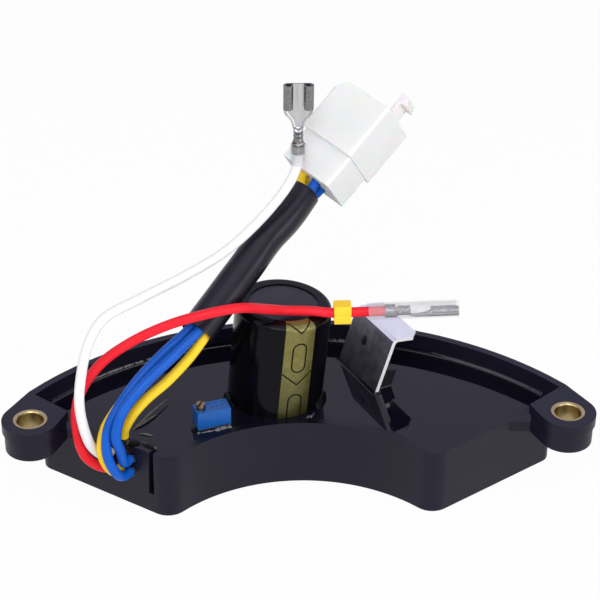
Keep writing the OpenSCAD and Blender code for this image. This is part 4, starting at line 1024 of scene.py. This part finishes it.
@dataclass
class Case:
    """The tray with its bushes, the potting and what the potting hides.

    A dab, bead or bulge has its place, its half length, width and height, and its heading. A sliver has
    places with their heights over the potting.
    """

    exit: WireExit = WireExit()
    edge_mm: float = 0.4
    bush_edge_mm: float = 0.12
    wall_r_mm: float = 84.5
    wall_c_mm: float = 11.9 - math.sqrt(86.5 ** 2 - 67.2 ** 2)
    wall_from: float = 42.5
    wall_steps: int = 96
    wire_r_mm: float = 1.25
    exits: tuple[tuple[int, int], ...] = ((0, 0), (0, 1), (1, 0), (2, 0), (2, 1))
    yellow_mm: tuple[float, float] = (-43.3, -1.5)
    dabs_mm: Table = (
        (-35.6, -5.4, 0.8, 0.5, 0.4, 150), (-38.3, -3.6, 0.9, 0.5, 0.35, 140),
        (-42.7, -3.0, 1.0, 1.1, 0.7, 100),
        (2.9, 7.2, 1.6, 0.8, 0.7, 40))
    beads_mm: Table = (
        (-25.1, 0.3, 0.5, 0.4, 0.5, 18), (-22.7, 0.9, 1.9, 0.25, 0.35, 17), (-20.3, 1.7, 1.0, 0.6, 0.65, 30),
        (-18.9, 2.3, 1.0, 0.7, 0.8, 5), (-17.5, 2.8, 0.8, 0.6, 0.6, 25))
    # The third and fourth bulges are low dark patches of painted shade over the pit of the wire slot.
    bulges_mm: Table = (
        (-17.3, 14.2, 1.3, 3.4, 1.7, 18), (5.6, 13.6, 1.4, 3.8, 1.9, -18), (-37.2, -4.9, 2.3, 1.0, 0.25, 145),
        (-41.0, -3.4, 2.0, 1.5, 0.4, 150), (-25.9, 1.2, 0.9, 1.5, 0.8, 18))
    dab_sunk_mm: float = 0.1
    flood_mm: float = 0.3
    sliver_edge_mm: float = 0.08
    sliver_wide_mm: float = 0.9
    slivers_mm: tuple[Table, ...] = (
        ((-41.2, 1.7, 0.2), (-37.6, 6.6, 1.2), (-32.8, 14.0, 1.0)),
        ((-40.9, 2.6, 0.1), (-38.2, 5.2, 0.5), (-35.4, 8.4, 0.1)),
        ((-40.0, 0.3, 0.1), (-38.2, 0.0, 0.2), (-36.2, -0.6, 0.1)))

    def build(self) -> None:
        """Makes the tray, the epoxy's edges and dresses the nodes that belong to it."""
        tray = eased("tray", "moulded_tray", TRAY_NYLON, self.edge_mm)
        add_finish(tray, OVERRUN_EPOXY, self.is_flooded)
        for bush in ("left_bush", "right_bush"):
            eased(bush, bush + "_turned", BUSH_BRASS, self.bush_edge_mm)
        potting = eased("potting", "cast_potting", POTTING_EPOXY, 0.0)
        add_finish(potting, SATIN_EPOXY, lambda face: abs(face.normal.z) < 0.5)
        self.make_menisci()
        self.make_dabs()
        for node, finish in HIDDEN_FINISHES.items():
            dress(node, finish)

    def is_flooded(self, face: bpy.types.MeshPolygon) -> bool:
        """Returns whether a face is the top of a low wall, which the epoxy ran over."""
        return face.normal.z > 0.9 and abs(face.center.z / MM - POTTING_TOP) < self.flood_mm

    def make_menisci(self) -> None:
        """Makes the epoxy that has crept up the wall, the parts and the wires."""
        level = Matrix.Identity(3)
        wall = Seat(row(0, self.wall_c_mm, POTTING_TOP), level)
        yellow = Seat(row(*self.yellow_mm, POTTING_TOP), level)
        wire = round_outline(self.wire_r_mm, 24)
        fillets = [
            Meniscus(SINK_FOOT, box_outline(0, 0, 1.06, 18.3), True, 0.6, 0.8, 0.2),
            Meniscus(SINK_FOOT, box_outline(1.06, 1.4, 5.8, 11.4), True, 0.4, 0.7, 0.2),
            Meniscus(TRIMMER_FOOT, box_outline(0, 0, 8.6, 4.4), True, 0.4, 0.7, 0.5),
            Meniscus(yellow, wire, True, 0.5, 0.8, 0.2),
        ]
        for column, level_row in self.exits:
            seat = Seat(self.exit.place(column, level_row), self.exit.face())
            fillets.append(Meniscus(seat, wire, True, 0.4, 0.6, 0.15))
        arc = arc_outline(self.wall_r_mm, self.wall_from, 180 - self.wall_from, self.wall_steps)
        for name, group, finish in (
            ("epoxy_menisci", fillets, POTTING_EPOXY),
            ("epoxy_at_wall", [Meniscus(wall, arc, False, 1.0, 1.5, 0.1)], DABBED_EPOXY),
        ):
            bm = bmesh.new()
            for fillet in group:
                fillet.add_to(bm)
            bmesh.ops.recalc_face_normals(bm, faces=bm.faces)
            new_piece(name, bm, finish, crease=50)

    def make_dabs(self) -> None:
        """Makes the epoxy dabbed over the wires' exit and the parts' feet, with painted glints on the beads
        and painted shade over the exit's pit, and the slivers it drew out.
        """
        for name, dabs, uneven, finish in (
            ("epoxy_dabs", self.dabs_mm, 0.25, DABBED_EPOXY),
            # The beads' grey patches are painted glints.
            ("epoxy_beads", self.beads_mm, 0.35, BEADED_EPOXY_PAINTED_GLINTS),
            ("epoxy_bulges", self.bulges_mm, 0.15, WIPED_EPOXY_AND_PIT_SHADE),
        ):
            bm = bmesh.new()
            for x, y, long, wide, high, heading in dabs:
                made = bmesh.ops.create_icosphere(bm, subdivisions=4, radius=1.0)["verts"]
                seat = Seat(row(x, y, POTTING_TOP - self.dab_sunk_mm), turned(heading, "Z"))
                for vert in made:
                    p = vert.co * (1 + uneven * noise.noise(vert.co * 1.2 + Vector((x, y, 0))))
                    vert.co = seat.at(p.x * long, p.y * wide, p.z * high)
            new_piece(name, bm, finish, crease=80)

        def thin(share: float, angle: float) -> float:
            """Returns a sliver's radius, flat across and pointed at both ends."""
            wide = self.sliver_wide_mm * share * (1 - share) * abs(math.cos(angle))
            return (self.sliver_edge_mm + wide) * MM

        bm = bmesh.new()
        for points in self.slivers_mm:
            line = flowing([row(x, y, POTTING_TOP + up) for x, y, up in points], 0.5)
            swept(bm, line, thin, 10)
        new_piece("epoxy_slivers", bm, EPOXY_SLIVER, crease=80)


@dataclass
class Capacitor:
    """The tall capacitor: film, top disc and the polarity stripe on the film."""

    foot_mm: tuple[float, float, float] = (-6.3, 18.144, 10.3)
    lean: float = 4.5
    radius_mm: float = 12.1
    top_mm: float = 34.2
    edge_mm: float = 1.5
    lap_mm: float = 1.8
    stripe_from: float = -88.9
    stripe_to: float = -51.4
    marks_mm: tuple[float, float] = (17.8, 2.9)
    chevrons_mm: tuple[float, float] = (10.0, 25.0)
    line_mm: float = 0.36
    slot_mm: tuple[float, float] = (1.75, 8.2)
    slot_steps: int = 48
    chevron_rise: float = 0.85
    chevron_line: float = 0.65
    chevron_steps: int = 12
    ink_mm: float = 0.03
    sunk_mm: float = 0.1

    def build(self) -> None:
        """Makes the film and its stripe, and dresses the disc."""
        eased("capacitor_sleeve", "capacitor_film_skin", SHRINK_FILM, 0.0)
        eased("capacitor_top_disc", "capacitor_disc_plate", FIBRE_DISC, 0.08)
        self.make_stripe()
        self.make_marks()

    def on_film(self, arc: float, up: float, lift: float) -> Vector:
        """Returns a point on the film.

        Args:
            arc: Millimetres round the film from the stripe's middle.
            up: Millimetres up the film from the potting, over its edge and in over the top.
            lift: Millimetres above the film.

        Returns:
            The point in the row frame.
        """
        seat = Seat(row(*self.foot_mm), turned(self.lean, "Y"))
        foot = (POTTING_TOP - self.foot_mm[2]) / math.cos(math.radians(self.lean))
        wall = self.top_mm - self.edge_mm - foot
        bend = self.edge_mm * math.pi / 2
        if up < wall:
            r, h = self.radius_mm + lift, foot + up
        elif up < wall + bend:
            a = (up - wall) / self.edge_mm
            r = self.radius_mm - self.edge_mm + (self.edge_mm + lift) * math.cos(a)
            h = foot + wall + (self.edge_mm + lift) * math.sin(a)
        else:
            r, h = self.radius_mm - self.edge_mm - (up - wall - bend), self.top_mm + lift
        angle = math.radians((self.stripe_from + self.stripe_to) / 2) + arc / self.radius_mm
        return seat.at(r * math.cos(angle), r * math.sin(angle), h)

    def add_plate(
        self, bm: bmesh.types.BMesh, rows: Sequence[Sequence[tuple[float, float]]], lift: float, closed: bool
    ) -> None:
        """Adds a thin plate on the film to a mesh.

        Args:
            bm: The mesh.
            rows: Rows of places round and up the film.
            lift: Height of the plate above the film.
            closed: Whether the last row is joined to the first.
        """
        rings = []
        for places in rows:
            over = [self.on_film(arc, up, lift) for arc, up in places]
            under = [self.on_film(arc, up, -self.sunk_mm) for arc, up in reversed(places)]
            rings.append(over + under)
        loft(bm, rings, True, closed, not closed)

    def half_width(self) -> float:
        """Returns half the stripe's width round the film, in millimetres."""
        return math.radians(self.stripe_to - self.stripe_from) / 2 * self.radius_mm

    def make_stripe(self) -> None:
        """Makes the gold stripe from the potting to the lap on the top."""
        half, across, below = self.half_width(), 14, 0.4
        foot = (POTTING_TOP - self.foot_mm[2]) / math.cos(math.radians(self.lean))
        end = self.top_mm - self.edge_mm - foot + self.edge_mm * math.pi / 2 + self.lap_mm
        steps = 80
        rows = []
        for i in range(steps + 1):
            up = -below + (end + below) * i / steps
            rows.append([(half * (2 * k / across - 1), up) for k in range(across + 1)])
        bm = bmesh.new()
        self.add_plate(bm, rows, self.ink_mm, False)
        bmesh.ops.recalc_face_normals(bm, faces=bm.faces)
        new_piece("polarity_stripe", bm, GOLD_INK, crease=50)

    def make_marks(self) -> None:
        """Makes the plain marks on the stripe: open slots and chevrons between them."""
        bm = bmesh.new()
        half = self.half_width() - self.sunk_mm
        slot_r, slot_l = self.slot_mm
        line = self.line_mm / 2
        for centre in self.marks_mm:
            rows = []
            for i in range(self.slot_steps):
                a = math.tau * (i + 0.5) / self.slot_steps
                shift = (slot_l / 2 - slot_r) * (1 if math.sin(a) > 0 else -1)
                x, y = slot_r * math.cos(a), centre + shift + slot_r * math.sin(a)
                rows.append([
                    (x + side * line * math.cos(a), y + side * line * math.sin(a)) for side in (-1, 1)])
            self.add_plate(bm, rows, 2 * self.ink_mm, True)
        thick = self.line_mm * self.chevron_line
        for apex in self.chevrons_mm:
            rows = []
            for i in range(-self.chevron_steps, self.chevron_steps + 1):
                x = half * i / self.chevron_steps
                y = apex + abs(x) * self.chevron_rise
                rows.append([(x, y - thick), (x, y + thick)])
            self.add_plate(bm, rows, 2 * self.ink_mm, False)
        bmesh.ops.recalc_face_normals(bm, faces=bm.faces)
        new_piece("polarity_marks", bm, BLACK_INK, crease=50)


@dataclass
class PowerStage:
    """The heat sink with its transistor."""

    lean: float = 19.0
    punch_mm: tuple[float, float] = (10.98, 9.78)
    fleck_mm: tuple[float, float, float] = (0.12, 0.95, 1.4)
    fleck_taper: tuple[float, float] = (1.15, 0.35)

    def build(self) -> None:
        """Makes the plate and the transistor on it."""
        seat = Seat(SINK_FOOT.origin, SINK_FOOT.turn @ turned(self.lean, "Y"))
        sink = eased("heat_sink", "bent_heat_sink", SINK_ALUMINIUM, 0.12)
        edge = seat.turn @ Vector((0, 1, 0))
        left = seat.turn @ Vector((-1, 0, 0))
        add_finish(sink, SHEARED_EDGE, lambda face: abs(face.normal.dot(edge)) > 0.9)
        # The face towards the capacitor gets the darker copy of the aluminium: painted reflection and shade.
        add_finish(sink, SINK_FACE_PAINTED_DARK, lambda face: face.normal.dot(left) > 0.9)
        self.make_fleck(seat)
        eased("transistor_body", "transistor_moulding", MOULD_COMPOUND, 0.2)
        eased("transistor_tab", "transistor_tab_plate", TIN_PLATE, 0.08)
        eased("transistor_screw", "transistor_fixing_screw", ZINC_STEEL, 0.1)

    def make_fleck(self, seat: Seat) -> None:
        """Makes a dark satin fleck over the punch mark, narrower towards its top."""
        bm = bmesh.new()
        deep, wide, high = self.fleck_mm
        for vert in bmesh.ops.create_icosphere(bm, subdivisions=3, radius=1.0)["verts"]:
            x, y, z = vert.co
            width = wide * y * (self.fleck_taper[0] - self.fleck_taper[1] * z)
            vert.co = seat.at(deep * x, self.punch_mm[0] + width, self.punch_mm[1] + high * z)
        new_piece("sink_fleck", bm, SATIN_EPOXY, crease=80)


@dataclass
class Trimmer:
    """The set-point trimmer and its turning screw."""

    edge_mm: float = 0.12
    screw_edge_mm: float = 0.08

    def build(self) -> None:
        """Makes the case and the screw."""
        eased("trimmer_body", "trimmer_case", TRIMMER_CASE, self.edge_mm)
        eased(
            "trimmer_screw", "trimmer_adjuster", TRIMMER_BRASS, self.screw_edge_mm,
            body=Body.ADJUSTER)


def main() -> None:
    logging.basicConfig(level=logging.INFO, format="%(name)s: %(message)s")
    for assembly in (Studio(), Leads(), Case(), Capacitor(), PowerStage(), Trimmer()):
        assembly.build()
        LOG.info("built %s", type(assembly).__name__)


if __name__ == "__main__":
    main()
